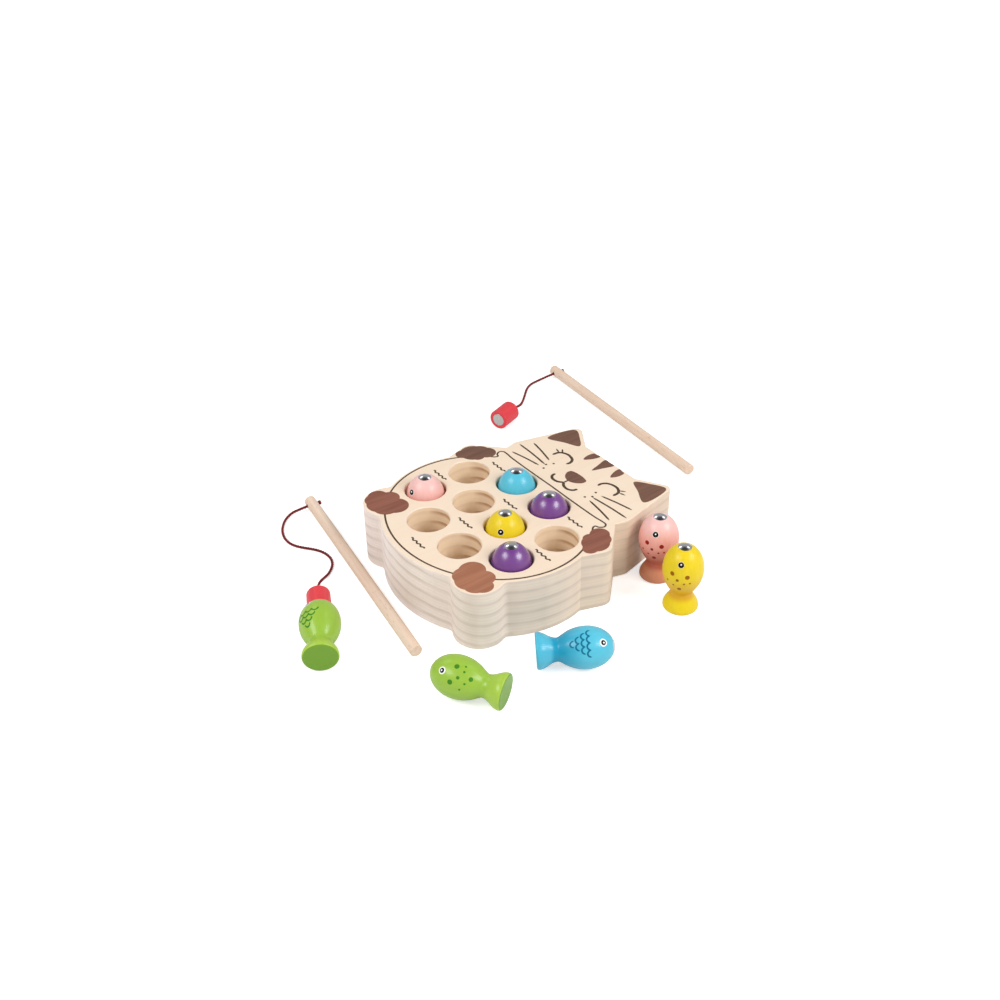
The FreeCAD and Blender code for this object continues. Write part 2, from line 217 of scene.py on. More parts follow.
# The room that metal and gloss mirror: between which heights of a ray it fades, from
# pale to dim, the ways to its two bright windows with their brightness, and how near to
# such a way, as a cosine, a window's edge begins and ends
ROOM_FADE = (0.70, 0.99)
ROOM_LIGHT = (0.42, 0.05)
WINDOWS = [((-0.743, 0.0, 0.669), 2.2), ((-0.078, 0.638, 0.766), 1.6)]
WINDOW_EDGE = (0.980, 0.993)


def srgb(red, green, blue):
    """A colour from its 0 to 255 values, as the linear light that shaders use: each
    value over 255, plus 0.055, over 1.055, to the power 2.4."""
    linear = [((value / 255 + 0.055) / 1.055) ** 2.4 for value in (red, green, blue)]
    return (*linear, 1.0)


def unit(vectors):
    """Vectors, each divided by its length."""
    return vectors / np.linalg.norm(vectors, axis=1)[:, None]


def full_turn(count):
    """Even angles round a circle."""
    return np.linspace(0, 2 * math.pi, count, endpoint=False)


def distance_along(line):
    """How far along a line each of its points lies: the sum of the steps before it."""
    return np.concatenate([[0], np.cumsum(np.linalg.norm(np.diff(line, axis=0), axis=1))])


def bezier(poles, count):
    """Points on a cubic curve: the four poles, weighted by the Bernstein terms."""
    t = np.linspace(0, 1, count)[:, None]
    a, b, c, d = np.array(poles, float)
    return (1 - t) ** 3 * a + 3 * (1 - t) ** 2 * t * b + 3 * (1 - t) * t**2 * c + t**3 * d


def arc(centre, radius, start, stop, count):
    """Points on a circle from one angle to another, in degrees."""
    angle = np.radians(np.linspace(start, stop, count))
    return np.array(centre) + radius * np.stack([np.cos(angle), np.sin(angle)], axis=1)


def smooth_line(points, count, closed=False):
    """Points on a curve that passes through all the given ones: the uniform cubic
    between each two, whose slope at a point is half the step from its last neighbour
    to its next."""
    points = np.array(points, float)
    if closed:
        padded = np.vstack([points[-1:], points, points[:2]])
    else:
        ends = (2 * points[0] - points[1], 2 * points[-1] - points[-2])
        padded = np.vstack([ends[0], points, ends[1]])
    spans = len(padded) - 3
    place = np.linspace(0, spans, count, endpoint=not closed)
    span = np.minimum(place.astype(int), spans - 1)
    t = (place - span)[:, None]
    a, b, c, d = (padded[span + step] for step in range(4))
    return 0.5 * (2 * b + (c - a) * t + (2 * a - 5 * b + 4 * c - d) * t**2
                  + (3 * b - a - 3 * c + d) * t**3)


def evenly(points, step):
    """The same line with points a fixed step apart along it."""
    along = distance_along(points)
    count = max(2, int(round(along[-1] / step)) + 1)
    wanted = np.linspace(0, along[-1], count)
    return np.stack([np.interp(wanted, along, column) for column in points.T], axis=1)


def revolve(profile, around):
    """Rings that a profile of (radius, height) makes round Z: radius times the cosine
    and sine of the turn."""
    turn = full_turn(around)
    radius, height = profile[:, 0, None], profile[:, 1, None]
    return np.stack([radius * np.cos(turn), radius * np.sin(turn), height + 0 * turn], axis=-1)


def skin(rings, first=None, last=None):
    """Points and faces of the closed skin over rings of points: a quad between each
    two neighbours of two rings and a fan from each end to its pole. With no poles,
    the last ring joins the first."""
    count, around = rings.shape[:2]
    index = np.arange(count * around).reshape(count, around)
    beside = np.roll(index, -1, axis=1)
    points = rings.reshape(-1, 3)
    if first is None:
        above, above_beside = np.roll(index, -1, axis=0), np.roll(beside, -1, axis=0)
        quads = np.stack([index, beside, above_beside, above], axis=-1).reshape(-1, 4)
        return points, quads, np.empty((0, 3), int)
    quads = np.stack([index[:-1], beside[:-1], beside[1:], index[1:]], axis=-1).reshape(-1, 4)
    poles = len(points) + np.zeros((2, around), int) + [[0], [1]]
    fans = [np.stack([poles[0], beside[0], index[0]], axis=-1),
            np.stack([poles[1], index[-1], beside[-1]], axis=-1)]
    points = np.vstack([points, [first, last]])
    return points, quads, np.vstack(fans)


def joined(skins):
    """Several skins as one set of points and faces."""
    points, quads, fans = zip(*skins)
    starts = np.cumsum([0] + [len(own) for own in points[:-1]])
    return (np.vstack(points), np.vstack([own + start for own, start in zip(quads, starts)]),
            np.vstack([own + start for own, start in zip(fans, starts)]))


def patch(outline, centre, lift):
    """The skin of a thin layer of paint over a closed outline: the outline shrunk
    towards its centre at even steps, flat on top with a soft edge."""
    outline, centre = np.array(outline, float), np.array(centre, float)
    shares = [1.0, 1.0, 0.985, *np.linspace(0.94, 0.2, 4)]
    lifts = [-PRINT_DEPTH, 0.5 * lift] + [lift] * 5
    flat = [np.column_stack([centre + (outline - centre) * share, np.full(len(outline), height)])
            for share, height in zip(shares, lifts)]
    return skin(np.array(flat), (*centre, -PRINT_DEPTH), (*centre, lift))


def ribbon(line, width, lift, taper=0.0):
    """The skin of a drawn line: a low bar on each side of the line, whose half width
    runs out at both ends as a circle does, and over a share of the length if tapered."""
    line = np.array(line, float)
    step = unit(np.gradient(line, axis=0))
    left = np.stack([-step[:, 1], step[:, 0]], axis=1)
    along = distance_along(line)
    end = np.minimum(along, along[-1] - along)
    reach = width / 2
    half = reach * np.sqrt(np.clip(1 - (1 - np.minimum(end / reach, 1)) ** 2, 0.02, 1))
    if taper:
        half = half * np.clip(0.25 + 0.75 * end / (taper * along[-1]), 0, 1)
    sides = np.array([-1.0, -0.7, 0.7, 1.0, 1.0, -1.0])
    heights = np.array([0.4 * lift, lift, lift, 0.4 * lift, -PRINT_DEPTH, -PRINT_DEPTH])
    flat = line[:, None, :] + left[:, None, :] * (half[:, None] * sides)[..., None]
    upright = np.broadcast_to(heights[:, None], (*flat.shape[:2], 1))
    return skin(np.concatenate([flat, upright], axis=-1), (*line[0], 0.0), (*line[-1], 0.0))


def disc(centre, radius, lift, around=28):
    """The skin of a round spot of paint."""
    return patch(arc(centre, radius, 0, 360 - 360 / around, around), centre, lift)


def frame_at(point, along):
    """The placement that puts the origin at a point and Z along a direction."""
    z = Vector(along).normalized()
    side = Vector((0, 0, 1)) if abs(z.z) < 0.9 else Vector((0, 1, 0))
    x = side.cross(z).normalized()
    y = z.cross(x)
    turn = Matrix((x, y, z)).transposed().to_4x4()
    return Matrix.Translation(point) @ turn


def placed(points, matrix):
    """Points carried from a piece's own frame into the row frame."""
    matrix = np.array(matrix)
    return points @ matrix[:3, :3].T + matrix[:3, 3]


def make_piece(name, shape, material, replaces=(), own=None, matrix=None, sharp=35.0):
    """An object from a skin, carried by a placement if it has one. Its attribute local
    keeps its own coordinates: those given, or its points from before it was placed."""
    points, quads, fans = shape
    own = points if own is None else own
    if matrix is not None:
        points = placed(points, matrix)
    mesh = bpy.data.meshes.new(name)
    corners = np.concatenate([quads.ravel(), fans.ravel()]).astype(np.int32)
    starts = np.concatenate([np.arange(len(quads)) * 4,
                             len(quads) * 4 + np.arange(len(fans)) * 3]).astype(np.int32)
    mesh.vertices.add(len(points))
    mesh.vertices.foreach_set("co", np.asarray(points, np.float32).ravel())
    mesh.loops.add(len(corners))
    mesh.loops.foreach_set("vertex_index", corners)
    mesh.polygons.add(len(starts))
    mesh.polygons.foreach_set("loop_start", starts)
    mesh.update(calc_edges=True)
    mesh.validate()
    mesh.polygons.foreach_set("use_smooth", np.ones(len(starts), bool))
    mesh.set_sharp_from_angle(angle=math.radians(sharp))
    attribute = mesh.attributes.new("local", "FLOAT_VECTOR", "POINT")
    attribute.data.foreach_set("vector", np.asarray(own, np.float32).ravel())
    mesh.materials.append(material)
    piece = bpy.data.objects.new(name, mesh)
    bpy.context.scene.collection.objects.link(piece)
    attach(piece, BODY)
    if replaces:
        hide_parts(*replaces)
    return piece


class Value:
    """A node's output, so that sums of such outputs read as sums of numbers do."""

    def __init__(self, recipe, socket):
        self.recipe = recipe
        self.socket = socket

    def __add__(self, other):
        return self.recipe.math("ADD", self, other)

    def __sub__(self, other):
        return self.recipe.math("SUBTRACT", self, other)

    def __mul__(self, other):
        return self.recipe.math("MULTIPLY", self, other)

    def __truediv__(self, other):
        return self.recipe.math("DIVIDE", self, other)

    def __abs__(self):
        return self.recipe.math("ABSOLUTE", self)


class Recipe:
    """A tree of nodes, with short calls that add to it."""

    def __init__(self, tree):
        self.tree = tree
        tree.nodes.clear()

    def feed(self, socket, value):
        """Links an output to an input, or sets the input to a plain value."""
        if isinstance(value, Value):
            self.tree.links.new(value.socket, socket)
        else:
            socket.default_value = value

    def add(self, kind, inputs=(), **settings):
        """A new node with these settings, its inputs fed by their names or in order."""
        node = self.tree.nodes.new(kind)
        for name, value in settings.items():
            setattr(node, name, value)
        for key, value in inputs.items() if isinstance(inputs, dict) else enumerate(inputs):
            self.feed(node.inputs[key], value)
        return node

    def result(self, key, kind, inputs=(), **settings):
        """One output of a new node."""
        return Value(self, self.add(kind, inputs, **settings).outputs[key])

    def math(self, operation, *values):
        return self.result(0, "ShaderNodeMath", values, operation=operation)

    def split(self, vector):
        node = self.add("ShaderNodeSeparateXYZ", [vector])
        return [Value(self, output) for output in node.outputs]

    def mapped(self, vector, scale=(1, 1, 1), turn=(0, 0, 0)):
        inputs = {"Vector": vector, "Scale": scale, "Rotation": turn}
        return self.result("Vector", "ShaderNodeMapping", inputs)

    def noise(self, vector, scale, detail=2.0, roughness=0.5, distortion=0.0, stretch=None):
        """Cloudy noise from 0 to 1, drawn out where its stretch is small."""
        vector = self.mapped(vector, stretch) if stretch else vector
        inputs = {"Vector": vector, "Scale": scale, "Detail": detail, "Roughness": roughness,
                  "Distortion": distortion}
        return self.result("Fac", "ShaderNodeTexNoise", inputs)

    def spread(self, value, low, high, to_low=0.0, to_high=1.0, smooth=False):
        """A value carried from one range to another, and held at its ends."""
        return self.result(0, "ShaderNodeMapRange", (value, low, high, to_low, to_high),
                           clamp=True, interpolation_type="SMOOTHSTEP" if smooth else "LINEAR")

    def mix(self, share, first, second, blend="MIX"):
        return self.result(2, "ShaderNodeMix", {0: share, 6: first, 7: second},
                           data_type="RGBA", blend_type=blend)

    def tint(self, colour, other, value, low, high, share=1.0):
        """A colour that goes a share of the way to another as a value rises."""
        return self.mix(self.spread(value, low, high, 0.0, share), colour, other)

    def seen(self):
        """1 for what the camera sees, by itself or through glass."""
        rays = self.add("ShaderNodeLightPath").outputs
        return self.math("MAXIMUM", Value(self, rays["Is Camera Ray"]),
                         Value(self, rays["Is Transmission Ray"]))


class Finish(Recipe):
    """A material's nodes round one Principled shader."""

    def __init__(self, name):
        self.material = bpy.data.materials.new(name)
        self.material.use_nodes = True
        super().__init__(self.material.node_tree)
        self.shader = self.add("ShaderNodeBsdfPrincipled")
        surface = Value(self, self.shader.outputs["BSDF"])
        self.add("ShaderNodeOutputMaterial", {"Surface": surface})

    def own(self):
        """The piece's own coordinates, from its attribute."""
        return self.result("Vector", "ShaderNodeAttribute", attribute_name="local")

    def object_place(self):
        return self.result("Object", "ShaderNodeTexCoord")

    def scaled(self, colour, *factors):
        """A colour times a factor in each channel."""
        return self.mix(1.0, colour, (*factors, 1.0), "MULTIPLY")

    def bump(self, height, distance, strength):
        return self.result("Normal", "ShaderNodeBump",
                           {"Strength": strength, "Distance": distance, "Height": height})

    def done(self, colour, **inputs):
        """The material, once its shader has its colour and its other inputs, which are
        named with underscores for blanks."""
        self.feed(self.shader.inputs["Base Color"], colour)
        for name, value in inputs.items():
            self.feed(self.shader.inputs[name.replace("_", " ")], value)
        return self.material


def wood_rings(recipe, place, width):
    """Growth rings round a pith that lies along Y, far below: 0 in pale early wood,
    rising softly to 1 in the late wood near each ring's end, with a wander of its own."""
    slow = recipe.noise(place, 13.0, 1.0, stretch=(1.0, 0.45, 1.0))
    quick = recipe.noise(place, 70.0, 2.0, stretch=(1.0, 0.6, 1.0))
    x, _, z = recipe.split(place)
    height = z + PITH_DEPTH
    radius = recipe.math("SQRT", x * x + height * height)
    radius = radius + slow * RING_WANDER + quick * (RING_WANDER * 0.3)
    ring = recipe.math("FRACT", radius / width)
    rise = recipe.spread(ring, 0.45, 0.82, smooth=True)
    fall = recipe.spread(ring, 0.82, 1.0, 1.0, 0.0, smooth=True)
    return rise * fall


def hole_mask(recipe, place):
    """1 inside the ten drilled holes below their chamfers: the least distance to a
    hole's axis, worked out from the staggered pattern, is under the radius."""
    x, y, z = recipe.split(place)
    row = recipe.math("ROUND", y / HOLE_PITCH)
    row = recipe.math("MINIMUM", recipe.math("MAXIMUM", row, -1.0), 1.0)
    inner = (abs(x) - HOLE_PITCH / 2, y - row * HOLE_PITCH)
    outer = (abs(x) - HOLE_PITCH * (0.5 + math.sqrt(3) / 2), abs(y) - HOLE_PITCH / 2)
    distances = [recipe.math("SQRT", across * across + along * along)
                 for across, along in (inner, outer)]
    nearest = recipe.math("MINIMUM", *distances)
    inside = recipe.math("LESS_THAN", nearest, HOLE_RADIUS + 0.15 * MM)
    below = recipe.math("LESS_THAN", z, BLOCK_TOP - HOLE_CHAMFER * 0.9)
    above = recipe.math("GREATER_THAN", z, BLOCK_TOP - HOLE_DEPTH - 1.0 * MM)
    return inside * (below * above)


def pine_side(recipe, place, rings, end_grain, colours):
    """Sawn pine: greyer towards the head end, with broad and fine growth rings, upright
    saw marks, pinker clouds, painted warm shade at the nape and open pores in the end grain."""
    x, y, _ = recipe.split(place)
    fading = recipe.noise(place, 45.0, 2.0, stretch=(1.0, 1.0, 0.5))
    upright = recipe.noise(place, 60.0, 2.0, stretch=(1.0, 1.0, 0.08))
    cloud = recipe.noise(place, 28.0, 2.0)
    pores = recipe.noise(place, 1400.0, 2.0, 0.6)
    ring = colours.pine_ring
    along = x * SIDE_WAY[0] + y * SIDE_WAY[1]
    side = recipe.tint(colours.pine_side, colours.pine_side_end, along, *SIDE_FADE)
    side = recipe.mix(rings * recipe.spread(fading, 0.3, 0.62, 0.1, 0.58), side, ring)
    side = recipe.mix(wood_rings(recipe, place, FINE_RING_WIDTH) * 0.16, side, ring)
    side = recipe.tint(side, ring, upright, 0.4, 0.7, 0.22)
    side = recipe.tint(side, colours.pine_band, cloud, 0.35, 0.7, 0.35)
    # Painted shade: the sides turn warmer and darker towards the nape
    side = recipe.tint(side, colours.pine_streak_and_nape_shade, y, *NAPE_SHADE_FADE, 0.2)
    return recipe.mix(end_grain * recipe.spread(pores, 0.5, 0.75, 0.0, 0.3), side, ring)


def pine_bore(recipe, place, rings, end_grain, colours):
    """Pine inside a drilled hole, browner in the end grain, with painted shade that deepens towards
    the hole's floor.
    """
    drilled = rings * recipe.spread(end_grain, 0.0, 1.0, 0.15, 0.85)
    bore = recipe.mix(drilled, colours.pine_bore, colours.pine_bore_ring_and_shade)
    # Painted shade: the wall darkens towards the floor of the hole
    low = recipe.spread(recipe.split(place)[2], BLOCK_TOP - HOLE_DEPTH,
                        BLOCK_TOP - 0.4 * HOLE_DEPTH, 1.0, 0.0, smooth=True)
    low = low * recipe.spread(end_grain, 0.0, 1.0, 0.2, 0.9)
    low = recipe.math("MAXIMUM", low, end_grain * 0.22)
    return recipe.mix(low, bore, colours.pine_bore_ring_and_shade)


def pine(colours):
    """Sanded pine: pale on top, pinkish grey on the sawn sides with soft growth rings,
    and tan inside the drilled holes, with painted shade towards their floors."""
    recipe = Finish("sanded pine")
    place = recipe.object_place()
    rings = wood_rings(recipe, place, RING_WIDTH)
    normal = recipe.split(recipe.result("Normal", "ShaderNodeNewGeometry"))
    end_grain = recipe.spread(abs(normal[1]), 0.55, 0.95)
    side = pine_side(recipe, place, rings, end_grain, colours)
    streak = recipe.noise(place, 160.0, 2.0, 0.5, stretch=(1.0, 0.05, 1.0))
    top = recipe.mix(rings * 0.08, colours.pine_top, colours.pine_streak_and_nape_shade)
    top = recipe.tint(top, colours.pine_streak_and_nape_shade, streak, 0.45, 0.75, 0.22)
    colour = recipe.tint(side, top, abs(normal[2]), 0.5, 0.9)
    bore = pine_bore(recipe, place, rings, end_grain, colours)
    colour = recipe.mix(hole_mask(recipe, place), colour, bore)
    fibre = recipe.noise(place, 950.0, 3.0, 0.6, stretch=(1.0, 0.03, 1.0))
    colour = recipe.tint(colour, colours.pine_streak_and_nape_shade, fibre, 0.3, 0.8, 0.12)
    return recipe.done(colour, Roughness=recipe.spread(fibre, 0.2, 0.8, 0.5, 0.64),
                       Specular_IOR_Level=0.4, Normal=recipe.bump(fibre, 0.05 * MM, 0.5))


def stained_pine(name, colour, dark):
    """Print on the pine that lets its grain show as darker and paler streaks."""
    recipe = Finish(name)
    streak = recipe.noise(recipe.own(), 260.0, 3.0, 0.55, 0.2, (1.0, 0.06, 1.0))
    fibre = recipe.noise(recipe.own(), 1100.0, 2.0, 0.6, stretch=(1.0, 0.03, 1.0))
    shade = recipe.tint(colour, dark, streak, 0.35, 0.7, 0.75)
    shade = recipe.tint(shade, dark, fibre, 0.45, 0.8, 0.35)
    return recipe.done(shade, Roughness=recipe.spread(fibre, 0.2, 0.8, 0.45, 0.62),
                       Specular_IOR_Level=0.35, Normal=recipe.bump(fibre, 0.04 * MM, 0.5))


def beech(name, heading, colours):
    """Beech dowel: long soft streaks and short brown flecks along the rod."""
    recipe = Finish(name)
    turned = recipe.mapped(recipe.object_place(), turn=(0, 0, -math.radians(heading)))
    streak = recipe.noise(turned, 420.0, 3.0, 0.5, stretch=(0.03, 1.0, 1.0))
    flecks = recipe.noise(turned, 1500.0, 1.0, 0.4, stretch=(0.16, 1.0, 1.0))
    cloud = recipe.noise(turned, 60.0, 1.0, stretch=(0.3, 1.0, 1.0))
    colour = recipe.tint(colours.beech, colours.beech_streak, streak, 0.35, 0.7, 0.7)
    colour = recipe.tint(colour, colours.beech_fleck, flecks, 0.66, 0.74, 0.5)
    colour = recipe.tint(colour, colours.beech_streak, cloud, 0.4, 0.7, 0.25)
    return recipe.done(colour, Roughness=recipe.spread(streak, 0.2, 0.8, 0.42, 0.58),
                       Normal=recipe.bump(streak - flecks * 0.5, 0.05 * MM, 0.5))


def gloss_paint(name, nose, belly, neck, tail, end=None, coat=0.4, roughness=0.36, shine=1.5,
                haze=0.2):
    """Brushed gloss paint on turned wood: its colour changes a little from the nose over the belly
    to the tail and its flat end, with a painted shade in the hollow of the neck; the turned grain
    stands faintly under it, and a thin clear coat lies on top."""
    recipe = Finish(name)
    own = recipe.own()
    height = recipe.split(own)[2]
    drift = height + recipe.noise(own, 55.0, 2.0) * (3.0 * MM)
    foot = recipe.spread(drift, 0.7 * NECK_HEIGHT, NECK_HEIGHT, smooth=True)
    low = recipe.spread(drift, NECK_HEIGHT + 2.0 * MM, BELLY_HEIGHT + 4.0 * MM, smooth=True)
    high = recipe.spread(drift, BELLY_HEIGHT + 2.0 * MM, FLAT_HEIGHT, smooth=True)
    # Painted shade: the neck colour darkens the hollow between belly and tail
    colour = recipe.mix(low, recipe.mix(foot, tail, neck), belly)
    colour = recipe.mix(high, colour, nose)
    if end is not None:
        colour = recipe.mix(recipe.math("LESS_THAN", height, 0.3 * MM), colour, end)
    grain = recipe.noise(own, 520.0, 3.0, 0.55, stretch=(1.0, 1.0, 0.04))
    turning = recipe.noise(own, 1300.0, 1.0, stretch=(0.02, 0.02, 1.0))
    darker = recipe.scaled(colour, 0.80, 0.80, 0.82)
    return recipe.done(recipe.tint(colour, darker, grain, 0.42, 0.78, 0.30),
                       Roughness=recipe.spread(grain, 0.3, 0.8, roughness, roughness + 0.12),
                       Specular_IOR_Level=0.28, Coat_Weight=coat, Coat_Roughness=haze,
                       Coat_IOR=shine, Normal=recipe.bump(grain + turning * 0.25, 0.035 * MM, 0.35))


def mark_ink(name, colour, patchy=0.2, coat=0.0):
    """Printed ink: a flat colour with faint thin places."""
    recipe = Finish(name)
    thin = recipe.noise(recipe.own(), 900.0, 2.0, 0.6)
    shade = recipe.tint(colour, recipe.scaled(colour, 1.2, 1.15, 1.1), thin, 0.4, 0.8, patchy)
    return recipe.done(shade, Roughness=recipe.spread(thin, 0.2, 0.8, 0.34, 0.46),
                       Specular_IOR_Level=0.15, Coat_Weight=coat, Coat_Roughness=0.2)


def line_ink(name, colour, pale):
    """Thin print on bare pine, worn through where the grain stands proud."""
    recipe = Finish(name)
    worn = recipe.noise(recipe.own(), 700.0, 3.0, 0.65, stretch=(1.0, 0.3, 1.0))
    shade = recipe.tint(colour, pale, worn, 0.5, 0.8, 0.55)
    return recipe.done(shade, Roughness=recipe.spread(worn, 0.2, 0.8, 0.5, 0.65),
                       Specular_IOR_Level=0.3, Normal=recipe.bump(worn, 0.03 * MM, 0.4))


def polished_metal(name, colour, roughness):
    """Bright plated steel with fine rubbed marks."""
    recipe = Finish(name)
    rubbed = recipe.noise(recipe.own(), 2600.0, 3.0, 0.6, stretch=(1.0, 0.1, 1.0))
    cloud = recipe.noise(recipe.own(), 300.0, 2.0)
    shade = recipe.tint(colour, recipe.scaled(colour, 0.8, 0.8, 0.82), cloud, 0.3, 0.7, 0.25)
    return recipe.done(shade, Metallic=1.0,
                       Roughness=recipe.spread(rubbed, 0.3, 0.8, roughness, roughness + 0.12),
                       Normal=recipe.bump(rubbed, 0.01 * MM, 0.3))


def twisted_yarn(name, colour, dark):
    """Cotton cord: painted shade between its strands, with fine fibres across them. The
    attribute holds how far out a point is, 1 on the crown of a strand."""
    recipe = Finish(name)
    crown, turn, along = recipe.split(recipe.own())
    strand = recipe.result(0, "ShaderNodeCombineXYZ", (turn, along))
    fibres = recipe.noise(strand, 3.0, 3.0, 0.6)
    # Painted shade: darker where a point lies low between the strands
    shade = recipe.tint(dark, colour, crown, 0.45, 0.95)
    shade = recipe.tint(shade, dark, fibres, 0.45, 0.75, 0.4)
    return recipe.done(shade, Roughness=0.85, Sheen_Weight=0.1, Sheen_Roughness=0.4,
                       Normal=recipe.bump(fibres, 0.05 * MM, 0.6))


def colour_choice(name, description, red, green, blue):
    """A colour that a user may change, with its default."""
    return FloatVectorProperty(name=name, description=description, subtype="COLOR", size=4,
                               min=0.0, max=1.0, default=srgb(red, green, blue))


def length_choice(name, description, default):
    """A length that a user may change, in metres, with its default in millimetres."""
    return FloatProperty(name=name, description=description, default=default * MM, min=0.0,
                         unit="LENGTH", precision=5)


class GameWoodColours(PropertyGroup):
    """The colours of the pine block, its print and the beech rods."""

    pine_top: colour_choice("Pine top", "Sanded pine on the top", 233, 213, 191)
    # Also the colour of the painted shade at the nape
    pine_streak_and_nape_shade: colour_choice("Pine streak", "Darker grain on the top", 222, 194, 164)
    pine_side: colour_choice("Pine side", "Sawn pine round the tail end", 252, 242, 238)
    pine_side_end: colour_choice("Pine side, far", "Sawn pine round the head end", 227, 211, 190)
    pine_ring: colour_choice("Pine ring", "Late wood in a growth ring", 188, 170, 156)
    pine_band: colour_choice("Pine band", "Pinker clouds in the sawn sides", 226, 206, 194)
    pine_bore: colour_choice("Drilled pine", "Pine inside the holes", 250, 228, 198)
    # Also the colour of the painted shade deep in the holes
    pine_bore_ring_and_shade: colour_choice("Drilled ring", "Late wood inside the holes", 176, 130, 90)
    paw: colour_choice("Paws", "Red-brown stain of two paws", 142, 88, 70)
    paw_dark: colour_choice("Paws, grain", "Grain in the stained paws", 114, 66, 52)
    near_paw: colour_choice("Near hind paw", "Paler stain of the near hind paw", 168, 112, 84)
    near_paw_dark: colour_choice("Near hind paw, grain", "Its grain", 142, 88, 62)
    ear: colour_choice("Ears and nose", "Stain of ears, nose and far fore paw", 120, 84, 66)
    ear_dark: colour_choice("Ears, grain", "Grain in that stain", 92, 64, 52)
    line: colour_choice("Lines", "Drawn lines on the block", 72, 56, 42)
    line_worn: colour_choice("Worn lines", "Where a drawn line is thin", 126, 102, 78)
    beech: colour_choice("Beech", "Rods", 229, 207, 187)
    beech_streak: colour_choice("Beech streak", "Long streaks of the rods", 214, 180, 152)
    beech_fleck: colour_choice("Beech fleck", "Short flecks of the rods", 172, 128, 96)


class GamePaintColours(PropertyGroup):
    """The colours of the painted fish, their marks, the holders and the cords."""

    pink: colour_choice("Pink", "Nose of the pink fish", 238, 190, 184)
    pink_belly: colour_choice("Pink, middle", "Middle of the pink fish", 230, 158, 146)
    # Painted shade in the hollow of the pink fish's neck
    pink_neck: colour_choice("Pink, neck", "Neck of the pink fish", 184, 96, 74)
    pink_tail: colour_choice("Pink, tail", "Tail of the pink fish", 214, 142, 110)
    blue: colour_choice("Blue", "Blue fish", 82, 187, 212)
    # Painted shade in the hollow of the blue fish's neck
    blue_neck: colour_choice("Blue, neck", "Neck of the blue fish", 6, 150, 186)
    blue_tail: colour_choice("Blue, tail", "Tail of the blue fish", 74, 180, 208)
    purple: colour_choice("Purple", "Purple fish", 110, 50, 134)
    yellow: colour_choice("Yellow", "Yellow fish", 228, 200, 20)
    # Painted shade in the hollow of the yellow fish's neck
    yellow_neck: colour_choice("Yellow, neck", "Neck of the yellow fish", 214, 162, 10)
    yellow_tail: colour_choice("Yellow, tail", "Tail of the yellow fish", 226, 198, 12)
    green: colour_choice("Green", "Green fish", 148, 186, 58)
    green_tail: colour_choice("Green, tail", "Tail of the green fish", 160, 194, 64)
    green_end: colour_choice("Green, end", "Flat end of the green fish's tail", 110, 156, 24)
    red: colour_choice("Red", "Holders", 216, 60, 68)
    cord: colour_choice("Cord", "Crowns of the cord's strands", 140, 26, 30)
    # Also the colour of the painted shade between the strands
    cord_shade_and_fibre: colour_choice("Cord, dark", "Between the cord's strands", 76, 10, 14)
    steel: colour_choice("Steel", "Tacks", 226, 226, 230)
    nickel: colour_choice("Nickel", "Magnets", 196, 194, 190)
    white: colour_choice("Eye white", "Ring of a fish's eye", 240, 240, 240)
    black: colour_choice("Pupil", "Pupil of a fish's eye", 12, 8, 8)
    pink_mark: colour_choice("Pink fish's marks", "Its spots", 140, 34, 28)
    blue_mark: colour_choice("Blue fish's marks", "Its scales", 16, 108, 140)
    purple_mark: colour_choice("Purple fish's marks", "Its scales", 74, 30, 96)
    yellow_mark: colour_choice("Yellow fish's marks", "Its spots", 150, 92, 0)
    green_mark: colour_choice("Green fish's marks", "Its spots or scales", 62, 128, 32)


class GamePrintSizes(PropertyGroup):
    """The sizes of what is printed on the block and on the fish."""

    line_width: length_choice("Line width", "Width of the body line and the chest line", 1.25)
    whisker_width: length_choice("Whisker width", "Width of a whisker", 1.4)
    face_width: length_choice("Face line width", "Width of the mouth and the closed eyes", 2.0)
    ripple_width: length_choice("Ripple width", "Width of a ripple's line", 1.2)
    ripple_length: length_choice("Ripple length", "Length of a ripple", 15.0)
    ripple_height: length_choice("Ripple height", "Height of a ripple's waves", 0.6)
    dot_radius: length_choice("Dot radius", "Radius of a dot on the cheeks", 0.85)
    ink_lift: length_choice("Ink thickness", "How far the print stands off the wood", 0.04)
    glint_radius: length_choice("Glint radius", "Radius of the dot in a pupil", 0.52)
    scale_width: length_choice("Scale line width", "Width of a printed scale's line", 1.05)


class GameStudio(PropertyGroup):
    """The lights and the floor."""

    right_softbox: FloatProperty(name="Right softbox", description="Power of the right softbox",
                                 default=9.8, min=0.0, unit="POWER")
    left_softbox: FloatProperty(name="Left softbox", description="Power of the left softbox",
                                default=8.0, min=0.0, unit="POWER")
    sky: FloatProperty(name="Room light", description="Brightness of the room round the game",
                       default=0.62, min=0.0, max=5.0, subtype="FACTOR")
    floor_glow: FloatProperty(name="Floor white", description="Light that only lifts the floor",
                              default=0.54, min=0.0, max=1.0, subtype="FACTOR")


def camera_turn():
    """The camera's rotation: forward from its azimuth and elevation, then rolled."""
    across, up = CAMERA_AZIMUTH, CAMERA_ELEVATION
    forward = Vector((math.sin(across) * math.cos(up), math.cos(across) * math.cos(up),
                      -math.sin(up)))
    level = Vector((math.cos(across), -math.sin(across), 0.0))
    upright = level.cross(forward)
    right = level * math.cos(CAMERA_ROLL) + upright * math.sin(CAMERA_ROLL)
    top = upright * math.cos(CAMERA_ROLL) - level * math.sin(CAMERA_ROLL)
    return Matrix((right, top, -forward)).transposed()


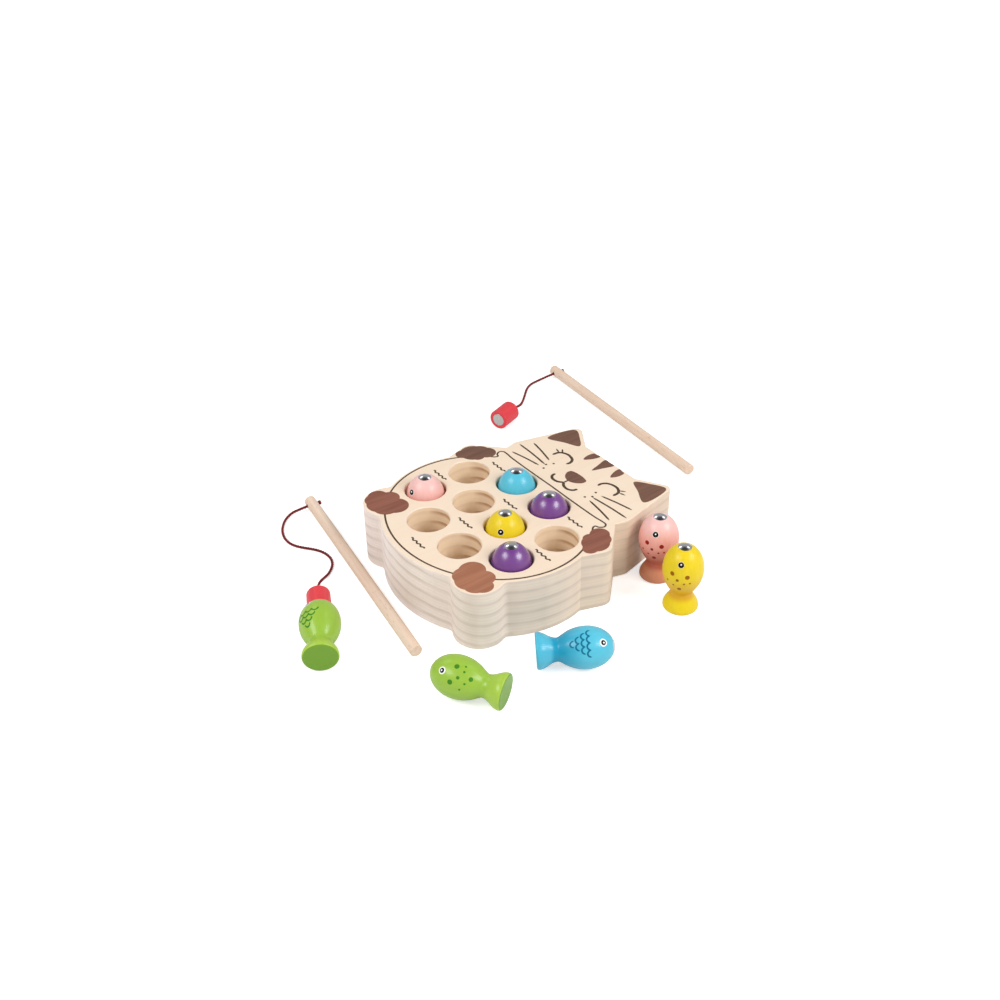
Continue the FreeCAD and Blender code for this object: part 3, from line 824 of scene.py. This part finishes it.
class GAME_OT_camera(Operator):
    """Put the camera where the photograph was taken from"""

    bl_idname = "game.camera"
    bl_label = "Camera"

    def execute(self, context):
        data = bpy.data.cameras.new("camera")
        data.sensor_width = SENSOR
        data.lens = FOCAL_PIXELS / IMAGE_SIZE * SENSOR
        camera = bpy.data.objects.new("camera", data)
        camera.matrix_world = Matrix.Translation(CAMERA_PLACE) @ camera_turn().to_4x4()
        context.scene.collection.objects.link(camera)
        context.scene.camera = camera
        return {"FINISHED"}


def route_line(name, points):
    """The smooth line of a cord: points read from the NURBS spline of its route."""
    data = bpy.data.curves.new(name, "CURVE")
    data.dimensions = "3D"
    data.resolution_u = 24
    spline = data.splines.new("NURBS")
    spline.points.add(len(points) - 1)
    for point, place in zip(spline.points, points):
        point.co = (*(value * MM for value in place), 1.0)
    spline.order_u = 3
    spline.use_endpoint_u = True
    holder = bpy.data.objects.new(name, data)
    mesh = bpy.data.meshes.new_from_object(holder)
    line = np.zeros(len(mesh.vertices) * 3)
    mesh.vertices.foreach_get("co", line)
    bpy.data.meshes.remove(mesh)
    bpy.data.objects.remove(holder)
    bpy.data.curves.remove(data)
    return evenly(line.reshape(-1, 3), CORD_STEP)


def carried_frames(line):
    """Two directions across a line at each point, turned as little as it allows."""
    along = unit(np.gradient(line, axis=0))
    side = np.zeros_like(along)
    first = np.cross(along[0], (0.0, 0.0, 1.0))
    side[0] = first / np.linalg.norm(first)
    for i in range(1, len(line)):
        across = side[i - 1] - along[i] * np.dot(side[i - 1], along[i])
        side[i] = across / np.linalg.norm(across)
    return side, np.cross(along, side)


def rings_round(line, side, up, angle, reach):
    """Rings round a line: from each of its points, the reach along the cosine of the
    angle times one direction across it and the sine times the other."""
    out = np.cos(angle)[..., None] * side[:, None, :] + np.sin(angle)[..., None] * up[:, None, :]
    return line[:, None, :] + reach * out


def three_strands(line, diameter, twist, around=24):
    """The skin of a cord of three strands: a three-lobed ring that turns once per
    twist as it goes along the line. The diameter is that of the circle round the
    lobes. The attribute is (lobe height, turn, length)."""
    side, up = carried_frames(line)
    along = distance_along(line)[:, None]
    lobe = diameter / 2 / (1 + 2 / math.sqrt(3))
    offset = diameter / 2 - lobe
    turn = full_turn(around)
    near = (turn + math.pi / 3) % (2 * math.pi / 3) - math.pi / 3
    reach = offset * np.cos(near) + np.sqrt(lobe**2 - (offset * np.sin(near)) ** 2)
    rings = rings_round(line, side, up, turn + 2 * math.pi * along / twist, reach[:, None])
    crown = (reach - reach.min()) / (reach.max() - reach.min())
    own = np.stack(np.broadcast_arrays(crown, near * 3, along / diameter), axis=-1)
    ends = [(1.0, 0.0, end / diameter) for end in (0.0, along[-1, 0])]
    return skin(rings, line[0], line[-1]), np.vstack([own.reshape(-1, 3), ends])


def knot_line(centre, across, size, count=220):
    """The closed line of a tight overhand knot: a trefoil, with each coordinate a sum
    of two waves, flattened along the cord."""
    t = full_turn(count)
    loop = np.stack([np.sin(t) + 2 * np.sin(2 * t), np.cos(t) - 2 * np.cos(2 * t),
                     -1.5 * np.sin(3 * t)], axis=1)
    return placed(loop * size / 3.2, frame_at(centre, across))


def closed_tube(line, radius, around=12):
    """The skin of a round tube along a closed line, its rings square to the line."""
    along = unit(np.roll(line, -1, axis=0) - np.roll(line, 1, axis=0))
    side = unit(np.cross(along, line - line.mean(axis=0)))
    turn = full_turn(around)
    rings = rings_round(line, side, np.cross(along, side), turn[None, :], radius)
    # Three low places round each ring, which the yarn darkens into painted shade of strands that
    # the round tube does not have
    crown = 0.6 + 0.4 * np.cos(turn * 3)
    stretch = np.arange(len(line))[:, None] * 0.12
    own = np.stack(np.broadcast_arrays(crown, turn, stretch), axis=-1)
    return skin(rings), own.reshape(-1, 3)


class GAME_OT_cords(Operator):
    """Lay both cords on their routes, each with the knot behind its rod"""

    bl_idname = "game.cords"
    bl_label = "Cords and knots"

    def execute(self, context):
        paint = context.scene.game_paint
        yarn = twisted_yarn("red yarn", paint.cord, paint.cord_shade_and_fibre)
        for name, (length, route) in CORD_ROUTES.items():
            line = route_line(name + "_route", route)
            line[:, 2] = np.maximum(line[:, 2], STRANDS_DIAMETER / 2)
            shape, own = three_strands(line, STRANDS_DIAMETER, CORD_TWIST)
            cord = make_piece(name + "_twisted_cord", shape, yarn,
                              [name + "_cord"], own, sharp=180.0)
            away = Vector(line[0]) - Vector(line[6])
            centre = Vector(line[0]) + away.normalized() * KNOT_RADIUS * 0.75
            shape, own = closed_tube(knot_line(centre, away, KNOT_RADIUS - KNOT_STRAND),
                                     KNOT_STRAND)
            knot = make_piece(name + "_overhand_knot", shape, yarn,
                              [name + "_knot"], own, sharp=180.0)
        return {"FINISHED"}


class GAME_OT_block(Operator):
    """Finish the pine block and both beech rods"""

    bl_idname = "game.block"
    bl_label = "Pine block and rods"

    def execute(self, context):
        wood = context.scene.game_wood
        finishes = {"cat_block": pine(wood)}
        for node, heading in ROD_HEADINGS.items():
            finishes[node] = beech("beech of " + node, heading, wood)
        for node, material in finishes.items():
            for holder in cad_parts[node].material_slots:
                holder.material = material
        return {"FINISHED"}


def mirrored(points):
    """The same outline on the other side of the middle line, in the same turning sense."""
    return (np.array(points, float) * (-1, 1))[::-1]


def both_halves(points):
    """A whole symmetrical outline from its +X half, listed from low to high."""
    points = np.array(points, float)
    on_middle = points[:, 0] <= 0.01
    inner, (low, high) = points[~on_middle], points[on_middle]
    return np.vstack([low, inner, high, mirrored(inner)])


def shifted(points):
    """Points of the face, moved onto its middle line."""
    return np.array(points, float) + (FACE_X, 0)


def round_pad(discs, count=120):
    """The outline of overlapping discs as seen from their mean centre: along each ray
    the furthest point where it leaves a disc."""
    discs = np.array(discs, float)
    middle = discs[:, :2].mean(axis=0)
    angle = full_turn(count)
    ray = np.stack([np.cos(angle), np.sin(angle)], axis=1)
    offset = discs[:, :2] - middle
    along = ray @ offset.T
    beside = ray[:, :1] * offset[:, 1] - ray[:, 1:] * offset[:, 0]
    inside = np.clip(discs[:, 2] ** 2 - beside**2, 0, None)
    reach = np.where(inside > 0, along + np.sqrt(inside), 0).max(axis=1)
    return middle + ray * reach[:, None], middle


def blot(outline, lift, count=90):
    """The skin of a stained spot: its outline made smooth and filled."""
    rounded = smooth_line(outline, count, closed=True)
    return patch(rounded, rounded.mean(axis=0), lift)


def stroke(line, width, lift, taper=0.0):
    """The skin of a line drawn smoothly through its points."""
    return ribbon(evenly(smooth_line(line, 40 * len(line)), STROKE_STEP), width / MM, lift, taper)


def printed(name, skins, material):
    """One piece of print on the block's top, from skins drawn flat in millimetres."""
    points, quads, fans = joined(skins)
    points = points * (MM, MM, 1.0) + (0.0, 0.0, BLOCK_TOP)
    return make_piece(name, (points, quads, fans), material)


def print_outlines(size, ink):
    """The line round the body and the line across the chest."""
    lift, width = size.ink_lift * 0.8, size.line_width / MM
    across, along, middle = BODY_LINE
    turn = np.radians(np.linspace(BODY_LINE_END, -180 - BODY_LINE_END, 500))
    oval = np.stack([across * np.cos(turn), middle + along * np.sin(turn)], axis=1)
    printed("body_line", [ribbon(oval, width, lift)], ink)
    half = smooth_line(CHEST_LINE, 400)
    whole = evenly(np.vstack([mirrored(half)[:-1], half]), STROKE_STEP)
    printed("chest_line", [ribbon(whole, width, lift)], ink)


def print_stains(size, paw, near_paw, ear):
    """The paws, the ears with the nose, and the stripes on the forehead."""
    lift = size.ink_lift
    for name, discs, side, material in (
            ("near_hind_paw", HIND_PAW, 1, near_paw), ("far_hind_paw", HIND_PAW, -1, paw),
            ("near_fore_paw", FORE_PAW, 1, paw), ("far_fore_paw", FORE_PAW, -1, ear)):
        outline, centre = round_pad([(side * x, y, radius) for x, y, radius in discs])
        printed(name + "_patch", [patch(outline, centre, lift)], material)
    ears = [blot(outline, lift, 120) for outline in (EAR, mirrored(EAR))]
    printed("ears_and_nose", ears + [blot(shifted(both_halves(NOSE)), lift)], ear)
    stripes = (both_halves(MIDDLE_STRIPE), SIDE_STRIPE, mirrored(SIDE_STRIPE))
    printed("forehead_stripes", [blot(shifted(stripe), lift) for stripe in stripes], ear)


def print_face(size, ink):
    """The mouth, the closed eyes with their lashes, the whiskers and the cheeks' dots."""
    lift, thin = size.ink_lift, size.whisker_width
    face, whiskers = [], []
    for side in (1, -1):
        mirror = np.array((side, 1))
        for skins, lines, width, taper in ((face, (MOUTH[1:], CLOSED_EYE), size.face_width, 0.05),
                                           (face, LASHES, thin, 0.5),
                                           (whiskers, WHISKERS, thin, 0.1)):
            skins += [stroke(shifted(line * mirror), width, lift, taper) for line in lines]
        whiskers += [disc(shifted(dot * mirror), size.dot_radius / MM, lift) for dot in CHEEK_DOTS]
    face.append(stroke(shifted(MOUTH[:2]), thin, lift))
    printed("closed_eyes_and_mouth", face, ink)
    printed("whiskers", whiskers, ink)


def print_ripples(size, ink):
    """The ripples of the water: short lines, each a sine of its share of the length."""
    share = np.linspace(0, 1, 90)
    along = size.ripple_length / MM * (share - 0.5)
    wave = size.ripple_height / MM * np.sin(RIPPLE_HALF_WAVES * math.pi * share)
    ripples = [ribbon(np.stack([side * x + along, y + wave], axis=1), size.ripple_width / MM,
                      size.ink_lift)
               for x, y in RIPPLES for side in ((1, -1) if x else (1,))]
    printed("ripples", ripples, ink)


class GAME_OT_print(Operator):
    """Print the cat's face, paws, stripes and lines on the block's top"""

    bl_idname = "game.print"
    bl_label = "Print on the block"

    def execute(self, context):
        wood, size = context.scene.game_wood, context.scene.game_print
        ink = line_ink("drawn line", wood.line, wood.line_worn)
        stain = stained_pine("paw stain", wood.paw, wood.paw_dark)
        near_stain = stained_pine("near paw stain", wood.near_paw, wood.near_paw_dark)
        brown = stained_pine("ear stain", wood.ear, wood.ear_dark)
        print_outlines(size, ink)
        print_stains(size, stain, near_stain, brown)
        print_face(size, ink)
        print_ripples(size, ink)
        return {"FINISHED"}


def fish_profile():
    """Half of a fish's section from the middle of its tail's end to the flat on its
    nose: a line, a quarter circle and three cubic curves."""
    foot = TAIL_RADIUS - TAIL_ROUND
    flare = (NECK_HEIGHT - TAIL_ROUND) * 0.4
    swell = BELLY_HEIGHT - NECK_HEIGHT
    end = math.acos(FLAT_RADIUS / FISH_RADIUS)
    pull = 4 / 3 * math.tan(end / 4)
    stop = np.array((FLAT_RADIUS, FLAT_HEIGHT))
    slope = np.array((-FISH_RADIUS * math.sin(end), NOSE_HEIGHT * math.cos(end)))
    return np.vstack([
        [(foot * share, 0.0) for share in (0.25, 0.5, 0.75, 0.93, 0.99)],
        arc((foot, TAIL_ROUND), TAIL_ROUND, -90, 0, 10),
        bezier([(TAIL_RADIUS, TAIL_ROUND), (TAIL_RADIUS, TAIL_ROUND + flare),
                (NECK_RADIUS, NECK_HEIGHT - flare), (NECK_RADIUS, NECK_HEIGHT)], 22)[1:],
        bezier([(NECK_RADIUS, NECK_HEIGHT), (NECK_RADIUS, NECK_HEIGHT + 0.12 * swell),
                (FISH_RADIUS, BELLY_HEIGHT - 0.6 * swell), (FISH_RADIUS, BELLY_HEIGHT)], 30)[1:],
        bezier([(FISH_RADIUS, BELLY_HEIGHT), (FISH_RADIUS, BELLY_HEIGHT + pull * NOSE_HEIGHT),
                stop - slope * pull, stop], 34)[1:],
        [(FLAT_RADIUS * share, FLAT_HEIGHT) for share in (0.97, 0.5)],
    ])


def tack_profile():
    """Half of a tack's section from the point of its shank to the top of its dome: a
    cone, a cylinder, the flat under the head and an arc."""
    radius = (TACK_RADIUS**2 + TACK_DOME**2) / (2 * TACK_DOME)
    half = math.degrees(math.asin(TACK_RADIUS / radius))
    dome = arc((0.0, TACK_DOME - radius), radius, 90 - half, 89, 22)
    under = [(SHANK_RADIUS * share, share * SHANK_POINT - SHANK_LENGTH)
             for share in (0.1, 0.6, 1.0)]
    under += [(SHANK_RADIUS, -1.0 * MM), (SHANK_RADIUS, 0.0), (TACK_RADIUS * 0.9, 0.0)]
    return np.vstack([under, dome]) + (0.0, FLAT_HEIGHT)


# A fish's profile, and its side from the tail's edge to the nose
FISH_PROFILE = fish_profile()
FISH_SIDE = FISH_PROFILE[np.argmax(FISH_PROFILE[:, 0] >= TAIL_RADIUS):-2]


def fish_frame(name):
    """A fish's placement, from its tack: the two points of the tack that are furthest
    apart are the tip of the shank and the top of the dome, both on the fish's axis."""
    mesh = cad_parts[name + "_tack"].data
    points = np.zeros(len(mesh.vertices) * 3)
    mesh.vertices.foreach_get("co", points)
    points = points.reshape(-1, 3)
    body = np.array(sum(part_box(name), Vector()) / 2)
    ends = [points[np.argmax(np.linalg.norm(points - body, axis=1))]]
    for _ in range(3):
        ends.append(points[np.argmax(np.linalg.norm(points - ends[-1], axis=1))])
    tip, top = sorted(ends[-2:], key=lambda end: np.linalg.norm(end - body))
    axis = (Vector(top) - Vector(tip)).normalized()
    return frame_at(Vector(top) - axis * (FLAT_HEIGHT + TACK_DOME), axis)


def side_at(height):
    """The radius of a fish's side at a height, and its slope there."""
    radii, heights = FISH_SIDE.T
    slopes = np.gradient(radii, heights)
    return np.interp(height, heights, radii), np.interp(height, heights, slopes)


def on_side(shape, scale, height, turn):
    """A skin drawn flat in millimetres, scaled and wrapped onto a fish at a height: x
    goes round it from a turn, y is height along the axis, z is distance off the side."""
    points, quads, fans = shape
    across, up, off = (points * (*scale, 1.0) + (0.0, height, 0.0)).T
    radius, slope = side_at(up * MM)
    lean = np.arctan(slope)
    angle = math.radians(turn) + across
    out = radius + off * np.cos(lean)
    return np.stack([out * np.cos(angle), out * np.sin(angle),
                     up * MM - off * np.sin(lean)], axis=1), quads, fans


def round_mark(turn, height, radius, lift):
    """A round spot on a fish's side, as wide on the curved side as a flat one."""
    at, slope = side_at(height * MM)
    scale = (MM / at, 1.0 / math.sqrt(1 + slope**2))
    return on_side(disc((0.0, 0.0), radius, lift), scale, height, turn)


def scale_mark(turn, height, width, lift):
    """A printed scale: a half ring, open towards the nose."""
    half = math.radians(SCALE_TURN) * FISH_RADIUS / MM / 2
    line = arc((0.0, 0.0), half, 180, 360, 30) * (1.0, 1.1)
    return on_side(ribbon(line, width / MM, lift, 0.15), (MM / FISH_RADIUS, 1.0), height, turn)


def fish_marks(kind, eye, shift, size):
    """All spots or scales on a fish's printed side."""
    if kind == "spots":
        return joined([round_mark(eye + turn, height + shift, radius, size.ink_lift)
                       for turn, height, radius in SPOTS])
    return joined([scale_mark(eye + (place - (count - 1) / 2) * SCALE_TURN, height + shift,
                              size.scale_width, size.ink_lift)
                   for height, count in SCALE_ROWS for place in range(count)])


def fish_paint(colour, paint):
    """A fish's gloss, with its own colour on each part that has no other."""
    own = getattr(paint, colour)
    parts = [getattr(paint, f"{colour}_{part}", own) for part in ("nose", "belly", "neck", "tail")]
    end = getattr(paint, colour + "_end", None)
    return gloss_paint(colour + " gloss", *parts, end, **GLOSS[colour])


class GAME_OT_fish(Operator):
    """Turn, paint and print the ten fish"""

    bl_idname = "game.fish"
    bl_label = "Fish and tacks"

    def execute(self, context):
        paint, size = context.scene.game_paint, context.scene.game_print
        paints = {colour: fish_paint(colour, paint) for colour in GLOSS}
        inks = {colour: mark_ink(colour + " marks", getattr(paint, colour + "_mark"))
                for colour in GLOSS}
        white = mark_ink("eye white", paint.white, 0.0, 0.2)
        black = mark_ink("pupil", paint.black, 0.0)
        steel = polished_metal("plated steel", paint.steel, 0.08)
        body = skin(revolve(FISH_PROFILE, 96), (0, 0, 0), (0, 0, FLAT_HEIGHT))
        tack = skin(revolve(tack_profile(), 48), (0, 0, FLAT_HEIGHT - SHANK_LENGTH),
                    (0, 0, FLAT_HEIGHT + TACK_DOME))
        lift = size.ink_lift
        for name, (kind, eye, shift) in FISH.items():
            colour = name.split("_")[0]
            painted = colour + "_paint"
            level = EYE_HEIGHT + shift
            ring, pupil = (round_mark(eye, level, radius, lift * layer)
                           for layer, radius in enumerate(EYES[colour], 1))
            glint = round_mark(eye, level + GLINT_RISE, size.glint_radius / MM, lift * 3)
            matrix = fish_frame(name)
            for part, shape, material, slot, replaced in (
                    ("turned", body, paints[colour], painted, [name]),
                    ("marks", fish_marks(kind, eye, shift, size), inks[colour], painted, []),
                    ("eye_white", ring, white, painted, []),
                    ("pupil", pupil, black, painted, []),
                    ("glint", glint, white, painted, []),
                    ("domed_tack", tack, steel, "tack_steel", [name + "_tack"])):
                make_piece(f"{name}_{part}", shape, material, replaced, matrix=matrix)
        return {"FINISHED"}


def holder_profile():
    """Half of a holder's section from the seat of its magnet round the outside to the
    bottom of its cord hole, with both outer edges rounded."""
    seat = MAGNET_RADIUS + 0.05 * MM
    outer = HOLDER_RADIUS - HOLDER_ROUND
    bottom = HOLDER_LENGTH - HOLDER_CORD_DEPTH
    return np.vstack([
        [(seat * 0.5, MAGNET_THICKNESS), (seat * 0.98, MAGNET_THICKNESS), (seat, MAGNET_THICKNESS),
         (seat, 0.05 * MM), (seat, 0.0), (seat + 0.1 * MM, 0.0), (outer - 0.1 * MM, 0.0)],
        arc((outer, HOLDER_ROUND), HOLDER_ROUND, -90, 0, 8),
        [(HOLDER_RADIUS, HOLDER_ROUND + 0.2 * MM), (HOLDER_RADIUS, HOLDER_LENGTH / 2),
         (HOLDER_RADIUS, HOLDER_LENGTH - HOLDER_ROUND - 0.2 * MM)],
        arc((outer, HOLDER_LENGTH - HOLDER_ROUND), HOLDER_ROUND, 0, 90, 8),
        [(outer - 0.1 * MM, HOLDER_LENGTH), (HOLDER_CORD_RADIUS + 0.3 * MM, HOLDER_LENGTH),
         (HOLDER_CORD_RADIUS + 0.1 * MM, HOLDER_LENGTH),
         (HOLDER_CORD_RADIUS, HOLDER_LENGTH - 0.1 * MM), (HOLDER_CORD_RADIUS, bottom),
         (HOLDER_CORD_RADIUS * 0.5, bottom)],
    ])


def magnet_profile():
    """Half of a magnet's section, with both edges rounded."""
    inner = MAGNET_RADIUS - MAGNET_ROUND
    return np.vstack([
        [(inner * 0.5, 0.0), (inner - 0.05 * MM, 0.0)],
        arc((inner, MAGNET_ROUND), MAGNET_ROUND, -90, 0, 6),
        arc((inner, MAGNET_THICKNESS - MAGNET_ROUND), MAGNET_ROUND, 0, 90, 6),
        [(inner - 0.05 * MM, MAGNET_THICKNESS), (inner * 0.5, MAGNET_THICKNESS)],
    ])


class GAME_OT_holders(Operator):
    """Turn and paint both holders and seat their magnets"""

    bl_idname = "game.holders"
    bl_label = "Holders and magnets"

    def execute(self, context):
        paint = context.scene.game_paint
        red = gloss_paint("red satin", *[paint.red] * 4, coat=0.15, roughness=0.42)
        nickel = polished_metal("plated magnet", paint.nickel, 0.22)
        holder = skin(revolve(holder_profile(), 72), (0, 0, MAGNET_THICKNESS),
                      (0, 0, HOLDER_LENGTH - HOLDER_CORD_DEPTH))
        magnet = skin(revolve(magnet_profile(), 64), (0, 0, 0), (0, 0, MAGNET_THICKNESS))
        for which in ("first", "second"):
            far, near = (sum(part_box(f"{which}_{part}"), Vector()) / 2
                         for part in ("holder", "magnet"))
            axis = (far - near).normalized()
            matrix = frame_at(near - axis * MAGNET_THICKNESS / 2, axis)
            for part, shape, material, slot in (("holder", holder, red, "red_paint"),
                                                ("magnet", magnet, nickel, "magnet_nickel")):
                make_piece(f"{which}_turned_{part}", shape, material,
                           [f"{which}_{part}"], matrix=matrix)
        return {"FINISHED"}


def white_floor(glow):
    """A wide white floor: it takes the game's shadow, and a glow that only the camera
    sees, by itself or through glass, lifts it to white."""
    corners = [(x * FLOOR_HALF, y * FLOOR_HALF, -FLOOR_DROP)
               for x, y in ((-1, -1), (1, -1), (1, 1), (-1, 1))]
    mesh = bpy.data.meshes.new("floor")
    mesh.from_pydata(corners, [], [(0, 1, 2, 3)])
    recipe = Finish("white floor")
    soft = recipe.noise(recipe.object_place(), 3.0, 1.0)
    colour = recipe.mix(soft, (0.80, 0.80, 0.80, 1.0), (0.81, 0.81, 0.81, 1.0))
    mesh.materials.append(recipe.done(colour, Roughness=0.9, Specular_IOR_Level=0.1,
                                      Emission_Color=WHITE, Emission_Strength=recipe.seen() * glow))
    floor = bpy.data.objects.new("floor", mesh)
    bpy.context.scene.collection.objects.link(floor)


def bright_room(sky):
    """The room: plain soft light, white for the camera, and in mirrors pale near the
    floor and dim overhead, with two bright windows behind the game."""
    world = bpy.data.worlds.new("room")
    world.use_nodes = True
    recipe = Recipe(world.node_tree)

    def plain(strength):
        inputs = {"Color": WHITE, "Strength": strength}
        return recipe.result(0, "ShaderNodeBackground", inputs)

    direction = recipe.result("Generated", "ShaderNodeTexCoord")
    height = recipe.split(direction)[2]
    mirror_light = recipe.spread(height, *ROOM_FADE, *ROOM_LIGHT, smooth=True)
    for window, brightness in WINDOWS:
        toward = recipe.result("Value", "ShaderNodeVectorMath",
                               (direction, Vector(window).normalized()), operation="DOT_PRODUCT")
        mirror_light += recipe.spread(toward, *WINDOW_EDGE, 0.0, brightness, smooth=True)
    glossy = recipe.result("Is Glossy Ray", "ShaderNodeLightPath")
    room = recipe.result(0, "ShaderNodeMixShader", (glossy, plain(sky), plain(mirror_light)))
    shown = recipe.result(0, "ShaderNodeMixShader", (recipe.seen(), room, plain(1.0)))
    recipe.add("ShaderNodeOutputWorld", {"Surface": shown})
    bpy.context.scene.world = world


def soft_box(name, place, aim, power):
    """A large lamp that faces a point."""
    data = bpy.data.lights.new(name, "AREA")
    data.shape = "RECTANGLE"
    data.size, data.size_y = SOFTBOX_SIZE
    data.energy = power
    lamp = bpy.data.objects.new(name, data)
    turn = (aim - place).to_track_quat("-Z", "Y").to_matrix().to_4x4()
    lamp.matrix_world = Matrix.Translation(place) @ turn
    bpy.context.scene.collection.objects.link(lamp)


class GAME_OT_stage(Operator):
    """Lay the white floor and set up the soft studio light"""

    bl_idname = "game.stage"
    bl_label = "Floor and lights"

    def execute(self, context):
        studio = context.scene.game_studio
        white_floor(studio.floor_glow)
        bright_room(studio.sky)
        view = context.scene.camera.matrix_world.to_3x3()
        right, back = view @ Vector((1, 0, 0)), view @ Vector((0, 0, 1))
        back.z = 0
        back.normalize()
        aim = Vector(SOFTBOX_AIM)
        for name, (side, height) in SOFTBOXES.items():
            place = aim + right * side + back * SOFTBOX_BACK + Vector((0, 0, height))
            soft_box(name, place, aim, getattr(studio, name))
        context.scene.view_settings.view_transform = "Standard"
        return {"FINISHED"}


class GAME_PT_sidebar(Panel):
    """The game's pieces, in the order in which they are made"""

    bl_idname = "GAME_PT_sidebar"
    bl_label = "Wooden fishing game"
    bl_space_type = "VIEW_3D"
    bl_region_type = "UI"
    bl_category = "Game"

    def draw(self, context):
        for operator in OPERATORS:
            self.layout.operator(operator.bl_idname)
        for name in SETTINGS:
            settings = getattr(context.scene, name)
            box = self.layout.box()
            for choice in settings.bl_rna.properties.keys():
                if choice not in ("rna_type", "name"):
                    box.prop(settings, choice)


SETTINGS = {"game_wood": GameWoodColours, "game_paint": GamePaintColours,
            "game_print": GamePrintSizes, "game_studio": GameStudio}
OPERATORS = (GAME_OT_camera, GAME_OT_cords, GAME_OT_block, GAME_OT_print, GAME_OT_fish,
             GAME_OT_holders, GAME_OT_stage)


def register():
    for one in (*SETTINGS.values(), *OPERATORS, GAME_PT_sidebar):
        bpy.utils.register_class(one)
    for name, group in SETTINGS.items():
        setattr(bpy.types.Scene, name, PointerProperty(type=group))


def unregister():
    for name in SETTINGS:
        delattr(bpy.types.Scene, name)
    for one in reversed((*SETTINGS.values(), *OPERATORS, GAME_PT_sidebar)):
        bpy.utils.unregister_class(one)


def main():
    """Makes every piece."""
    register()
    for operator in OPERATORS:
        getattr(bpy.ops.game, operator.bl_idname.split(".")[1])()


if __name__ == "__main__":
    main()
